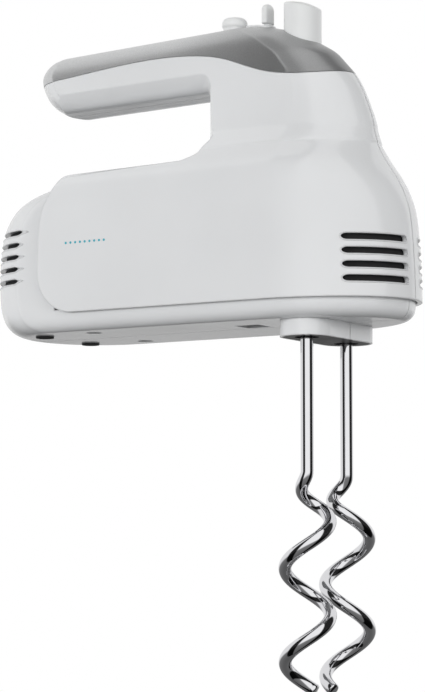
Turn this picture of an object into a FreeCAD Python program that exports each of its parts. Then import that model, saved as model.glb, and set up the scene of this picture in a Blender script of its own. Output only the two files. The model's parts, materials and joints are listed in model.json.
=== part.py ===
import FreeCAD, Part
import math
import os
from FreeCAD import Vector as V

# Hand mixer with two spiral beaters.
# Millimetres. Origin at the middle of the beater boss's underside, +Z up,
# +X towards the nose, +Y to the left. The beaters hang down along -Z.

# ---- driving dimensions: housing -------------------------------------------
NOSE_X = 46.8            # front of the raised shell
REAR_X = -178.6          # rear end of the base
HALF_WIDTH = 41.0        # raised shell, half of its width
BASE_STEP = 2.0          # how far the base sits inside the raised shell at the sides
NOSE_STEP = 3.3          # the same step at the nose
SHELL_BOTTOM_Z = 16.5    # lower edge of the raised shell
UNDERSIDE_Z = 7.8        # flat underside of the base
POD_TOP_Z = 86.0         # floor of the finger gap
PANEL_REAR_X = -137.2    # rear edge of the raised shell
HANDLE_HALF = 19.0       # handle, half of its width
HANDLE_REAR_X = -159.0   # rear end of the handle
HANDLE_UNDER_Z = 120.6   # underside of the handle, at its middle
HANDLE_TOP_Z = 153.3     # top of the handle above the speed slider
HANDLE_SLOPE = 0.043     # the handle's top falls this much per mm towards the rear
BEND_START_Z = 86.0      # the skin's sections start to follow the handle's slope here
BEND_END_Z = 136.0       # and follow it wholly from here up
SLOPE_PIVOT_X = -40.0    # where a sloping section keeps its own height
GAP_FRONT_X = -53.6      # front wall of the finger gap
HANDLE_ROUND = 10.0      # soft lower edges of the handle
FLOOR_ROUND = 9.0        # soft edges of the gap's floor
NECK_ROUND = 8.0         # soft edges of the gap's front wall
WALL = 2.2               # housing wall
SEAM_WIDTH = 0.35        # width of the grooves between the housing parts
SEAM_DEPTH = 0.8         # depth of those grooves
SHELL_GAP = 0.15         # between the base and the shell that closes over it
BASE_FRONT_TAPER = 58.0  # length of the base's rounded front
BASE_REAR_TAPER = 34.0   # length of its rounded rear
BASE_LAP = 9.0           # how far the base's rear part reaches into the raised shell
CAP_STEPS = 7            # points round a quarter of a section's end
SIDE_STEPS = 4           # points along a section's straight side
FAR = 400.0              # longer than anything here

# ---- driving dimensions: openings, screws and feet -----------------------------
FRONT_VENT_Z = [24.9, 31.3, 37.7, 44.1]
FRONT_VENT_Y = (5.2, 31.2)
FRONT_VENT_R = 1.6
REAR_VENT_Z = [33.6, 39.6, 45.6, 51.5, 57.4]
REAR_VENT_Y = (3.6, 38.7)
REAR_VENT_R = 1.25
REAR_VENT_FRONT_X = -147.5
SCREW_X = -116.0         # the two screws in the underside
SCREW_Y = 23.0
SCREW_R = 1.6
SCREW_HEAD_R = 3.4
SCREW_SEAT_Z = 18.0
TOWER_TOP_Z = 21.0       # top of the base's screw towers
SCREW_POST_TOP_Z = 34.0  # top of the shell's screw posts
FOOT_X = -147.0          # rubber feet
FOOT_Y = 20.0
FOOT_R = 4.5
FOOT_SEAT_Z = UNDERSIDE_Z + 1.4
FOOT_PROUD = 0.8
LATCH_X = (-41.0, -28.5)  # slot in the underside for a stand's latch
LATCH_Y = (-15.0, -2.5)
LATCH_DEPTH = 9.0
LATCH_WALL = 1.5
GLAND_Z = 22.0           # the cord's gland
GLAND_R = 5.5
GLAND_LENGTH = 10.0
CORD_HOLE_R = 3.6

# ---- driving dimensions: drive ----------------------------------------------
BEATER_SPACING = 38.0    # between the two beater axes
BOSS_R = 12.5            # ends of the beater boss
BOSS_TOP_Z = 12.0
NOSE_PLATE_T = 1.6       # dark plate under the boss
NOSE_PLATE_R = BOSS_R - 1.2
MOTOR_Z = 44.0           # height of the motor shaft
SHAFT_R = 3.0            # motor shaft
SHAFT_BACK_X = -120.0
SHAFT_FRONT_X = 20.5
MODULE_MM = 1.0          # tooth size of worm and wheels
WORM_PITCH_R = 5.0
WORM_STARTS = 2
WORM_HALF_LENGTH = 12.0
WHEEL_TEETH = 28
WHEEL_WIDTH = 8.0
BACKLASH = 0.16          # taken off each flank of worm and wheels
RUNNING = 0.05           # radial clearance of a running fit
SPINDLE_BOTTOM_Z = 1.8
SPINDLE_SHOULDER_Z = 24.0
SPINDLE_TOP_Z = 63.0
SPINDLE_R = 6.5          # spindle in its lower bush
SPINDLE_NECK_R = 5.0     # spindle in the worm wheel and upper bush
BUSH_R = 8.5             # outside of the lower bushes
UPPER_BUSH_R = 7.5       # outside of the upper bushes
FRAME_TOP_Z = 62.0       # gear frame
FRAME_PLATE_T = 5.0
FRAME_WALL_X = (17.0, 20.5)
BEARING_R = 6.0          # outside of the motor's bearings

# ---- driving dimensions: beaters ----------------------------------------------
WIRE_R = 3.0             # beater wire
WIRE_DRAW = 0.04         # the bent part is drawn this much thinner
BEATER_TOP_Z = 62.0
BEATER_TIP_Z = -163.0
HELIX_R = 10.4           # centre line of the beater's spiral
HELIX_PITCH = 43.0
HELIX_TOP_Z = -62.0      # where the straight shaft ends
HELIX_BLEND = 18.0       # height over which the spiral widens
HELIX_STEPS = 48
HELIX_PHASE = 31.5       # angle of the right spiral at HELIX_ZERO_Z, degrees
HELIX_ZERO_Z = -85.0
EAR_Z = (17.0, 21.0)     # ears that the spindle turns
EAR_REACH = 5.2
EAR_T = 1.6
EAR_PLAY = 0.3           # round the ears in the spindle's slots

# ---- driving dimensions: motor -------------------------------------------------
STATOR_X = (-96.0, -62.0)
STATOR_HALF = 26.0
STATOR_BOTTOM_Z = 17.0
STATOR_ROUND = 7.0
CRADLE_X = (-92.0, -68.0)  # ribs under the stator
BORE_R = 17.4
AIR_GAP = 0.7
COIL_Y = (14.8, 21.2)    # one side of a field coil, from the motor's axis
COIL_Z = (9.2, 19.6)
COIL_END = 5.5           # how far a coil stands out of the stator
COIL_BAR = 5.0           # height of the coil's ends above its sides
ARMATURE_SLOTS = 12
SLOT_CENTRE_R = 12.6
SLOT_R = 1.9
COMMUTATOR_X = (-112.0, -103.0)
COMMUTATOR_R = 9.0
COMMUTATOR_BARS = 24
FAN_X = (-54.0, -44.0)
FAN_R = 23.0
FAN_BLADES = 9
BRACKET_X = (-119.0, -114.5)
BRUSH_X = (-110.5, -104.5)
BRUSH_HALF_Z = 3.0
BRUSH_OUT_Y = 17.0
HOLDER_OUT_Y = 22.5
HOLDER_T = 1.2
SHELF_REACH = 20.0       # the terminal shelf behind the rear bracket
SHELF_HALF_Y = 16.0
BLOCK_Z = 55.0           # terminal block
BLOCK_HEIGHT = 8.0

# ---- driving dimensions: controls --------------------------------------------
EJECT_X = -12.4
EJECT_R = 9.0
EJECT_TOP_Z = 162.8
SLIDER_X = -31.6
SLIDER_TOP_Z = 163.8
SLIDER_TRAVEL = 8.0
SLIDER_NECK_X = 3.2
SLIDER_NECK_Y = 3.6
TRACK_T = 0.8            # plate round the slider's slot
TRACK_WIDTH = 10.4
TRACK_OVERRUN = 3.6
TURBO_X = -50.2
TURBO_R = 6.2
TURBO_TOP_Z = 159.6
TURBO_FLANGE_Z = (147.2, 149.2)
BUTTON_GAP = 0.3         # round each button in its hole
SHELF_Z = 96.0           # shelves in the neck that carry the control chassis
SHELF_T = 2.5
CHASSIS_T = 2.5
CHASSIS_X = (-48.0, 3.0)
CHASSIS_HALF_Y = 18.0
SWITCH_Z = 128.0         # table of the two switches
SWITCH_TOP_Z = 139.0
PULSE_TOP_Z = 135.0
LINK_R = 3.0             # rod from the eject button
LINK_TOP_Z = 128.0
LINK_COLLAR_T = 3.0
LINK_PLAY = 0.4          # round the rod in the chassis
BRIDGE_Z = (72.5, 76.5)
PIN_R = 2.6
PIN_GAP = 0.5            # between the ejector's pins and the beaters
BOARD_Y = (10.0, 11.6)   # control board
BOARD_TOP_Z = 120.0
WIRE_LANE_Y = 13.0       # inner leads run in this plane
LEAD_R = 1.1
LEAD_BEND = 2.6
LEAD_RISE_X = (-43.0, -37.0, -31.0)
LEAD_LANE_Z = (80.5, 77.0, 73.6)
LEAD_END_Z = 104.0
LEAD_START_X = (-127.0, -119.0)  # the two supply leads leave the terminal block here


# ---- small helpers -----------------------------------------------------------
def box(x0, x1, y0, y1, z0, z1):
    return Part.makeBox(x1 - x0, y1 - y0, z1 - z0, V(x0, y0, z0))


def post(x, y, z0, z1, radius):
    return Part.makeCylinder(radius, z1 - z0, V(x, y, z0))


def disc(x0, x1, radius, y=0.0, z=MOTOR_Z):
    """A cylinder along X, by default on the motor's axis."""
    return Part.makeCylinder(radius, x1 - x0, V(x0, y, z), V(1, 0, 0))


def ring(x0, x1, r_out, r_in):
    return disc(x0, x1, r_out).cut(disc(x0 - 1, x1 + 1, r_in))


def tube(x, y, z0, z1, r_out, r_in):
    return post(x, y, z0, z1, r_out).cut(post(x, y, z0 - 1, z1 + 1, r_in))


def fuse(shapes):
    first, rest = shapes[0], shapes[1:]
    return first.multiFuse(rest) if rest else first


def mirrored(shape):
    return shape.mirror(V(0, 0, 0), V(0, 1, 0))


def both_sides(shape):
    return [shape, mirrored(shape)]


def on_spindles(shape):
    """The right-hand and the left-hand copy of a piece made on the Z axis."""
    half = BEATER_SPACING / 2
    return [shape.translated(V(0, y, 0)) for y in (-half, half)]


def smooth(table, key):
    """Value at key from (key, value) rows, through a monotone cubic."""
    rows = sorted(table)
    keys = [row[0] for row in rows]
    vals = [row[1] for row in rows]
    if key <= keys[0]:
        return vals[0]
    if key >= keys[-1]:
        return vals[-1]
    slopes = [(vals[i + 1] - vals[i]) / (keys[i + 1] - keys[i]) for i in range(len(keys) - 1)]
    tangents = [slopes[0]]
    for left, right in zip(slopes, slopes[1:]):
        mean = 0.0 if left * right <= 0 else 2 * left * right / (left + right)
        tangents.append(mean)
    tangents.append(slopes[-1])
    i = max(j for j in range(len(keys) - 1) if keys[j] <= key)
    width = keys[i + 1] - keys[i]
    t = (key - keys[i]) / width
    h00, h10 = 2 * t**3 - 3 * t**2 + 1, t**3 - 2 * t**2 + t
    h01, h11 = 3 * t**2 - 2 * t**3, t**3 - t**2
    return h00 * vals[i] + h10 * width * tangents[i] + h01 * vals[i + 1] + h11 * width * tangents[i + 1]


def outline(points, y):
    """A closed wire in the XZ plane at y; each (x, z, r) corner is rounded by r."""
    arcs = []
    for i, (x, z, radius) in enumerate(points):
        before, after = points[i - 1], points[(i + 1) % len(points)]
        here = V(x, y, z)
        back = (V(before[0], y, before[1]) - here).normalize()
        ahead = (V(after[0], y, after[1]) - here).normalize()
        half = back.getAngle(ahead) / 2
        reach = radius / math.tan(half)
        middle = here + (back + ahead).normalize() * (radius / math.sin(half) - radius)
        arcs.append((here + back * reach, middle, here + ahead * reach))
    edges = []
    for (start, middle, end), following in zip(arcs, arcs[1:] + arcs[:1]):
        edges.append(Part.Arc(start, middle, end).toShape())
        edges.append(Part.makeLine(end, following[0]))
    return Part.Wire(edges)


def stadium(spacing, radius, z0, z1, x=0.0):
    """A slab with round ends, long in Y."""
    half = spacing / 2
    middle = box(x - radius, x + radius, -half, half, z0, z1)
    return fuse([middle, post(x, -half, z0, z1, radius), post(x, half, z0, z1, radius)])


# ---- housing skins -----------------------------------------------------------
# Heights of the raised skin's sections. Above BEND_Z they follow the handle's slope.
SKIN_Z = [8, 24, 38, 50, 58, 65, 71, 77, 82, 87, 92, 98, 105, 112, 118, 122.5, 126.5, 131, 135, 139, 143.5]
SKIN_Z += [147, 149.5, 151.3, 152.5, 153.15]
FRONT = [(8, NOSE_X + 0.1), (24, NOSE_X), (44, 45.8), (57.4, 44.3), (63, 42.8), (69.4, 40.2), (75, 37.1),
         (82.8, 31.9), (89.7, 28.3), (96.5, 26.2), (101.4, 25.2), (107, 23.6), (112, 21.5), (118.5, 18.4),
         (124, 14.8), (128, 11.2), (135.2, 4.6), (138.9, -0.8), (143.5, -8), (147, -15), (149.5, -21.5),
         (151.3, -28), (152.5, -34), (153.15, -40)]
HALF = [(8, HALF_WIDTH), (50, HALF_WIDTH), (60, HALF_WIDTH - 0.2), (70, HALF_WIDTH - 1),
        (78, HALF_WIDTH - 2.8), (83, HALF_WIDTH - 5.2), (87, HALF_WIDTH - 8.6), (92, 28.3), (98, 24.6),
        (105, 21.8), (113, HANDLE_HALF + 1), (121, HANDLE_HALF + 0.2), (134, HANDLE_HALF),
        (139, HANDLE_HALF - 0.3), (143.5, HANDLE_HALF - 1.3), (147, HANDLE_HALF - 3.1),
        (149.5, HANDLE_HALF - 5.3), (151.3, HANDLE_HALF - 8), (152.5, HANDLE_HALF - 11),
        (153.15, HANDLE_HALF - 14.5)]
REAR = [(8, -200), (87, -200), (92, -175), (98, -150), (105, HANDLE_REAR_X + 30), (113, HANDLE_REAR_X + 26),
        (119, HANDLE_REAR_X + 20), (122.5, HANDLE_REAR_X + 15.5), (125.5, HANDLE_REAR_X + 10.8),
        (128.6, HANDLE_REAR_X + 7), (131, HANDLE_REAR_X + 4.9), (135.6, HANDLE_REAR_X + 2.2),
        (140, HANDLE_REAR_X + 0.5), (143.5, HANDLE_REAR_X), (147, HANDLE_REAR_X + 1.1),
        (149.5, HANDLE_REAR_X + 3.2), (151.3, HANDLE_REAR_X + 6), (152.5, HANDLE_REAR_X + 9.5),
        (153.15, HANDLE_REAR_X + 14)]
FRONT_TAPER = [(8, 60), (57, 59), (70, 55), (82, 49), (98, 40), (121, 31), (139, 27), (149.5, 22),
               (153.15, 9)]
REAR_TAPER = [(8, 30), (98, 24), (121, 19), (147, 17), (151.3, 12), (153.15, 8)]


def plan_curve(front, rear, half, front_taper, rear_taper):
    """Closed (x, y) loop: an ellipse at each end and straight sides between."""
    side = []
    for i in range(CAP_STEPS + 1):
        angle = math.pi / 2 * i / CAP_STEPS
        side.append((front - front_taper + front_taper * math.cos(angle), half * math.sin(angle)))
    start, end = front - front_taper, rear + rear_taper
    for i in range(1, SIDE_STEPS):
        side.append((start + (end - start) * i / SIDE_STEPS, half))
    for i in range(CAP_STEPS + 1):
        angle = math.pi / 2 * i / CAP_STEPS
        side.append((rear + rear_taper - rear_taper * math.sin(angle), half * math.cos(angle)))
    return side + [(x, -y) for x, y in side[-2:0:-1]]


def skin_points(z, inset):
    share = min(1.0, max(0.0, (z - BEND_START_Z) / (BEND_END_Z - BEND_START_Z)))
    lift = share * share * (3 - 2 * share)
    drop = inset * lift
    loop = plan_curve(smooth(FRONT, z) - inset, smooth(REAR, z) + inset, smooth(HALF, z) - inset,
                      smooth(FRONT_TAPER, z), smooth(REAR_TAPER, z))
    return [V(x, y, z - drop + HANDLE_SLOPE * lift * (x - SLOPE_PIVOT_X)) for x, y in loop]


def skinned_solid(loops):
    """A closed solid whose side passes smoothly through planar loops of points."""
    count = len(loops[0])
    around = [i / count for i in range(count + 1)]
    curves = []
    for loop in loops:
        curve = Part.BSplineCurve()
        curve.interpolate(Points=loop, Parameters=around, PeriodicFlag=True)
        curves.append(curve)
    along = [0.0]
    for low, high in zip(loops, loops[1:]):
        along.append(along[-1] + max(p.distanceToPoint(q) for p, q in zip(low, high)))
    columns = []
    for column in zip(*[curve.getPoles() for curve in curves]):
        rise = Part.BSplineCurve()
        rise.interpolate(Points=list(column), Parameters=along)
        columns.append(rise)
    surface = Part.BSplineSurface()
    surface.buildFromPolesMultsKnots([rise.getPoles() for rise in columns],
                                     curves[0].getMultiplicities(), columns[0].getMultiplicities(),
                                     curves[0].getKnots(), columns[0].getKnots(),
                                     True, False, curves[0].Degree, columns[0].Degree)
    side = surface.toShape()
    ends = [Part.Face(Part.Wire([curve.toShape()])) for curve in (curves[0], curves[-1])]
    shell = Part.makeShell([side] + ends)
    shell.sewShape()
    solid = Part.makeSolid(Part.Shell(shell.Faces))
    if solid.Volume < 0:
        solid.reverse()
    return solid


def raised_blank(inset):
    return skinned_solid([skin_points(z, inset) for z in SKIN_Z])


# The finger gap is cut by a loft across Y. Its outline swells with |y|, which rounds
# the handle's lower edges and the edges of the gap's floor.
GAP_STATIONS = [0, 6, 10, 13, 15.5, 17.5, 19.2, 21, 23.5, 26.5, 29.5, 32, 34.5, 36.5, 38.5, 40.5, 43]


def roundover(y, edge, radius):
    """Depth of a soft edge that starts radius before |y| = edge and steepens."""
    share = min(1.15, max(0.0, (y - (edge - radius)) / radius))
    return 0.8 * radius * share ** 2.4


def gap_wire(y, inset):
    lift = roundover(abs(y), HANDLE_HALF + 0.3, HANDLE_ROUND) + inset
    sink = roundover(abs(y), HALF_WIDTH - 1.6, FLOOR_ROUND) + inset
    push = roundover(abs(y), HANDLE_HALF + 3.0, NECK_ROUND) * 0.6 + inset
    floor_z = POD_TOP_Z + 0.6 - sink
    under = HANDLE_UNDER_Z + lift
    points = [(-230, under - 3.0, 5), (GAP_FRONT_X + push, under + 1.6, 6), (GAP_FRONT_X + push, floor_z, 14),
              (-126, floor_z - 1.8, 12), (-150, floor_z - 12.0, 5), (-230, floor_z - 40.0, 5)]
    return outline(points, y)


def gap_cutter(inset):
    stations = [-y for y in GAP_STATIONS[:0:-1]] + GAP_STATIONS
    return Part.makeLoft([gap_wire(y, inset) for y in stations], True, False)


def panel_prism(inset):
    """Side outline of the raised shell: its curved rear edge and level lower edge."""
    rear = PANEL_REAR_X + inset
    points = [(FAR / 2, SHELL_BOTTOM_Z, 1), (FAR / 2, FAR / 2, 1), (-230, FAR / 2, 5), (-230, 100, 5),
              (-119 + inset, 100, 6), (rear + 1.0, 66, 30), (rear - 0.2, 42, 30), (rear, SHELL_BOTTOM_Z, 20)]
    face = Part.Face(outline(points, -60))
    return face.extrude(V(0, 120, 0))


# ---- base: rear end, lower strip and underside ---------------------------------
BASE_Z = [UNDERSIDE_Z, 8.1, 9.0, 10.8, 14, 20, 32, 46, 57, 65, 71, 75.5, 78.7, 80.8, 82.0]
BASE_HALF_WIDTH = HALF_WIDTH - BASE_STEP
BASE_NOSE_X = NOSE_X - NOSE_STEP
BASE_FRONT = [(UNDERSIDE_Z, BASE_NOSE_X - 6), (8.1, BASE_NOSE_X - 4.4), (9.0, BASE_NOSE_X - 2.6),
              (10.8, BASE_NOSE_X - 0.9), (14, BASE_NOSE_X), (46, BASE_NOSE_X - 1), (65, BASE_NOSE_X - 5),
              (82, BASE_NOSE_X - 16)]
BASE_HALF = [(UNDERSIDE_Z, BASE_HALF_WIDTH - 5), (8.1, BASE_HALF_WIDTH - 3.6), (9.0, BASE_HALF_WIDTH - 2.2),
             (10.8, BASE_HALF_WIDTH - 0.8), (14, BASE_HALF_WIDTH), (57, BASE_HALF_WIDTH),
             (65, BASE_HALF_WIDTH - 0.7), (71, BASE_HALF_WIDTH - 2.2), (75.5, BASE_HALF_WIDTH - 4.6),
             (78.7, BASE_HALF_WIDTH - 8), (80.8, BASE_HALF_WIDTH - 12), (82.0, BASE_HALF_WIDTH - 18)]
BASE_REAR = [(UNDERSIDE_Z, REAR_X + 15.5), (8.1, REAR_X + 13), (9.0, REAR_X + 10.3), (10.8, REAR_X + 7.3),
             (14, REAR_X + 4.2), (20, REAR_X + 1.4), (30, REAR_X), (46, REAR_X + 0.5), (57, REAR_X + 2.2),
             (65, REAR_X + 5.4), (71, REAR_X + 10), (75.5, REAR_X + 16.5), (78.7, REAR_X + 23.5),
             (80.8, REAR_X + 32), (82.0, REAR_X + 43)]


def base_points(z, inset):
    height = z + inset * (1 - 2 * (z - UNDERSIDE_Z) / (BASE_Z[-1] - UNDERSIDE_Z))
    loop = plan_curve(smooth(BASE_FRONT, z) - inset, smooth(BASE_REAR, z) + inset,
                      smooth(BASE_HALF, z) - inset, BASE_FRONT_TAPER, BASE_REAR_TAPER)
    return [V(x, y, height) for x, y in loop]


def base_blank(inset):
    return skinned_solid([base_points(z, inset) for z in BASE_Z])


# ---- top cover -------------------------------------------------------------------
COVER_EDGE = [(-170, 133.8), (-146, 134.9), (-57.7, 138.6), (-46, 136.2), (-32, 131.0), (-21, 127.4),
              (-8, 125.4), (8, 125.6), (40, 127.5)]


def cover_region(offset):
    """Everything above the cover's lower edge, raised by offset."""
    curve = Part.BSplineCurve()
    curve.interpolate(Points=[V(x, -60, z + offset) for x, z in COVER_EDGE])
    start, end = curve.StartPoint, curve.EndPoint
    high = FAR / 2
    rim = [curve.toShape(), Part.makeLine(end, V(end.x, -60, high)),
           Part.makeLine(V(end.x, -60, high), V(start.x, -60, high)),
           Part.makeLine(V(start.x, -60, high), start)]
    return Part.Face(Part.Wire(rim)).extrude(V(0, 120, 0))


# ---- vents -----------------------------------------------------------------------


def vent(x0, x1, span, z, radius):
    """A slot with round ends that runs along X, on the right-hand side."""
    near, far = span
    ends = [disc(x0, x1, radius, -near - radius, z), disc(x0, x1, radius, -far + radius, z)]
    return fuse(ends + [box(x0, x1, -far + radius, -near - radius, z - radius, z + radius)])


def front_vents():
    return [vent(0, NOSE_X + 10, FRONT_VENT_Y, z, FRONT_VENT_R) for z in FRONT_VENT_Z]


def rear_vents():
    return [vent(REAR_X - 10, REAR_VENT_FRONT_X, REAR_VENT_Y, z, REAR_VENT_R) for z in REAR_VENT_Z]


# ---- housing parts ---------------------------------------------------------------


def raised_skin(inset):
    """The outside of the raised shell, handle and cover, moved in by inset."""
    skin = raised_blank(inset).cut(gap_cutter(inset))
    return skin.common(panel_prism(inset))


def upper_features(outer):
    """Shelf for the control chassis and a post for the underside screw, on the left."""
    shelf = box(-47, 12, 15.5, 30, SHELF_Z - SHELF_T, SHELF_Z).common(outer)
    screw_post = post(SCREW_X, SCREW_Y, TOWER_TOP_Z + 0.2, SCREW_POST_TOP_Z, 4.5)
    rib = box(SCREW_X - 1.5, SCREW_X + 1.5, SCREW_Y, HALF_WIDTH + 5, TOWER_TOP_Z + 1, SCREW_POST_TOP_Z)
    return [shelf, screw_post, rib.common(outer)]


def upper_shells(outer, hollow, core):
    """Right and left upper shells: sides, neck and the handle's lower half."""
    left_side = box(-FAR / 2, FAR / 2, 0, 60, SHELL_BOTTOM_Z, FAR / 2)
    left = outer.cut(hollow).common(left_side).cut(cover_region(0))
    left = fuse([left] + upper_features(outer))
    grooves = cover_region(-SEAM_WIDTH).cut(cover_region(1))
    grooves = grooves.fuse(box(-FAR / 2, FAR / 2, -1, SEAM_WIDTH / 2, 0, FAR / 2))
    cuts = [grooves.cut(core), post(SCREW_X, SCREW_Y, 0, SCREW_POST_TOP_Z - 2, SCREW_R)]
    left = left.cut(fuse(cuts + [mirrored(cut) for cut in front_vents()]))
    return mirrored(left), left


def base_features():
    """Boss, cradles for the stator and screw towers, in the left half."""
    boss = stadium(BEATER_SPACING, BOSS_R, 0, BOSS_TOP_Z)
    cradles = [box(x - 1.5, x + 1.5, -26, 26, UNDERSIDE_Z + 1, STATOR_BOTTOM_Z) for x in CRADLE_X]
    tower = post(SCREW_X, SCREW_Y, UNDERSIDE_Z + 0.3, TOWER_TOP_Z, 6.0)
    return [boss, tower] + cradles


def base_cuts():
    """Holes, wells and vents of the left half."""
    plate = stadium(BEATER_SPACING, NOSE_PLATE_R, -1, NOSE_PLATE_T)
    bush = post(0, BEATER_SPACING / 2, -1, BOSS_TOP_Z + 1, BUSH_R)
    well = post(SCREW_X, SCREW_Y, 0, SCREW_SEAT_Z, SCREW_HEAD_R + 0.5)
    shank = post(SCREW_X, SCREW_Y, 0, TOWER_TOP_Z + 1, SCREW_R + 0.2)
    foot = post(FOOT_X, FOOT_Y, UNDERSIDE_Z - 2, FOOT_SEAT_Z, FOOT_R)
    gland = disc(REAR_X - 10, REAR_X + 20, GLAND_R, 0, GLAND_Z)
    return [plate, bush, well, shank, foot, gland] + [mirrored(cut) for cut in rear_vents()]


def base_shells():
    """Right and left base: underside, lower strip, rear end and beater boss."""
    outer = base_blank(0)
    core = base_blank(SEAM_DEPTH)
    left_side = box(-FAR / 2, FAR / 2, 0, 60, -1, FAR / 2)
    inside_shell = box(PANEL_REAR_X + BASE_LAP, FAR / 2, -60, 60, SHELL_BOTTOM_Z + 1.5, FAR / 2)
    wall = outer.cut(base_blank(WALL)).cut(inside_shell).common(left_side)
    left = fuse([wall] + [feature.common(left_side) for feature in base_features()])
    left = left.cut(fuse(base_cuts()))
    groove = box(-FAR / 2, FAR / 2, -1, SEAM_WIDTH / 2, -1, FAR / 2).cut(core)
    left = left.cut(groove.cut(stadium(BEATER_SPACING, BOSS_R - SEAM_DEPTH, -2, BOSS_TOP_Z + 1)))
    right = mirrored(left).cut(box(*LATCH_X, *LATCH_Y, 0, UNDERSIDE_Z + WALL + 1))
    return right, left


def slider_slot(z0, z1):
    rear, front = SLIDER_X - SLIDER_TRAVEL - SLIDER_NECK_X / 2, SLIDER_X + SLIDER_NECK_X / 2
    return box(rear - BUTTON_GAP, front + BUTTON_GAP, -SLIDER_NECK_Y / 2 - BUTTON_GAP,
               SLIDER_NECK_Y / 2 + BUTTON_GAP, z0, z1)


def top_cover(outer, hollow):
    """Silver cover over the handle and the top of the nose, one piece."""
    wall = outer.cut(hollow).common(cover_region(0))
    buttons = ((EJECT_X, EJECT_R), (TURBO_X, TURBO_R))
    holes = [post(x, 0, 100, 200, radius + BUTTON_GAP) for x, radius in buttons]
    return wall.cut(fuse(holes + [slider_slot(140, 200)]))


def slider_track(outer):
    """Raised plate round the speed slider's slot."""
    rear, front = TURBO_X + TURBO_R + BUTTON_GAP + 0.6, SLIDER_X + TRACK_OVERRUN
    radius = TRACK_WIDTH / 2
    prism = fuse([post(rear + radius, 0, 140, 200, radius), post(front - radius, 0, 140, 200, radius),
                  box(rear + radius, front - radius, -radius, radius, 140, 200)])
    return prism.common(raised_blank(-TRACK_T)).cut(outer).cut(slider_slot(140, 200))


# ---- sweeps ------------------------------------------------------------------------
def rod_along(points, radius, sides=12):
    """A round rod whose centre line passes through the points."""
    loops = []
    side = None
    for i, here in enumerate(points):
        ahead = points[min(i + 1, len(points) - 1)] - points[max(i - 1, 0)]
        tangent = V(ahead).normalize()
        if side is None:
            side = tangent.cross(V(0, 1, 0.01)).normalize()
        side = (side - tangent * side.dot(tangent)).normalize()
        other = tangent.cross(side)
        ring_points = []
        for k in range(sides):
            angle = 2 * math.pi * k / sides
            ring_points.append(here + side * (radius * math.cos(angle)) + other * (radius * math.sin(angle)))
        loops.append(ring_points)
    return skinned_solid(loops)


def coil_spring(x, y, z0, z1, mean_r, wire_r, turns):
    """A compression spring along Z."""
    count = int(turns * 12)
    points = []
    for i in range(count + 1):
        angle = 2 * math.pi * turns * i / count
        z = z0 + wire_r + (z1 - z0 - 2 * wire_r) * i / count
        points.append(V(x + mean_r * math.cos(angle), y + mean_r * math.sin(angle), z))
    return rod_along(points, wire_r, 8)


def bent_wire(corners, radius, bend):
    """A wire through the corners, with each bend an arc."""
    edges = []
    start = corners[0]
    for before, here, after in zip(corners, corners[1:], corners[2:]):
        back, ahead = (before - here).normalize(), (after - here).normalize()
        half = back.getAngle(ahead) / 2
        reach = bend / math.tan(half)
        middle = here + (back + ahead).normalize() * (bend / math.sin(half) - bend)
        edges.append(Part.makeLine(start, here + back * reach))
        edges.append(Part.Arc(here + back * reach, middle, here + ahead * reach).toShape())
        start = here + ahead * reach
    edges.append(Part.makeLine(start, corners[-1]))
    direction = corners[1] - corners[0]
    profile = Part.Wire([Part.makeCircle(radius, corners[0], direction)])
    return Part.Wire(edges).makePipeShell([profile], True, False)


# ---- beaters and their drive ---------------------------------------------------------


def beater_points():
    """Centre line of the right spiral: out of the straight shaft, then widening."""
    points = [V(0, 0, HELIX_TOP_Z + 2.0), V(0, 0, HELIX_TOP_Z)]
    for i in range(1, HELIX_STEPS + 1):
        z = HELIX_TOP_Z + (BEATER_TIP_Z - HELIX_TOP_Z) * i / HELIX_STEPS
        share = min(1.0, (HELIX_TOP_Z - z) / HELIX_BLEND)
        radius = HELIX_R * share * share * (3 - 2 * share)
        angle = math.radians(HELIX_PHASE + (z - HELIX_ZERO_Z) * 360 / HELIX_PITCH)
        points.append(V(radius * math.cos(angle), radius * math.sin(angle), z))
    return points


def beater():
    """Spiral beater on the Z axis, with the two ears that its spindle turns."""
    shaft = post(0, 0, HELIX_TOP_Z, BEATER_TOP_Z, WIRE_R)
    spiral = rod_along(beater_points(), WIRE_R - WIRE_DRAW)
    ears = box(-EAR_REACH, EAR_REACH, -EAR_T / 2, EAR_T / 2, *EAR_Z)
    return fuse([shaft, spiral, ears])


def spindle():
    """Hollow spindle on the Z axis; slots in its bore take the beater's ears."""
    low = post(0, 0, SPINDLE_BOTTOM_Z, SPINDLE_SHOULDER_Z, SPINDLE_R)
    high = post(0, 0, SPINDLE_SHOULDER_Z, SPINDLE_TOP_Z, SPINDLE_NECK_R)
    bore = post(0, 0, 0, SPINDLE_TOP_Z + 1, WIRE_R + RUNNING)
    slot_reach, slot_half = EAR_REACH + EAR_PLAY, EAR_T / 2 + EAR_PLAY
    slots = box(-slot_reach, slot_reach, -slot_half, slot_half, 0, EAR_Z[1] + 1)
    return low.fuse(high).cut(bore).cut(slots)


def wheel_outline(z, turn):
    """Tooth outline of the worm wheel at height z, turned by an angle in radians."""
    pitch_r = MODULE_MM * WHEEL_TEETH / 2
    half = MODULE_MM * math.pi / 4 - BACKLASH
    tip_r, root_r = pitch_r + 0.85 * MODULE_MM, pitch_r - 1.15 * MODULE_MM
    tip_half = half - (tip_r - pitch_r) * math.tan(math.radians(25))
    root_half = half + (pitch_r - root_r) * math.tan(math.radians(16))
    points = []
    for tooth in range(WHEEL_TEETH):
        middle = turn + 2 * math.pi * (tooth + 0.5) / WHEEL_TEETH
        corners = ((root_r, -root_half), (tip_r, -tip_half), (tip_r, tip_half), (root_r, root_half))
        for radius, offset in corners:
            angle = middle + offset / radius
            points.append(V(radius * math.cos(angle), radius * math.sin(angle), z))
    return Part.makePolygon(points + points[:1])


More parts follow.
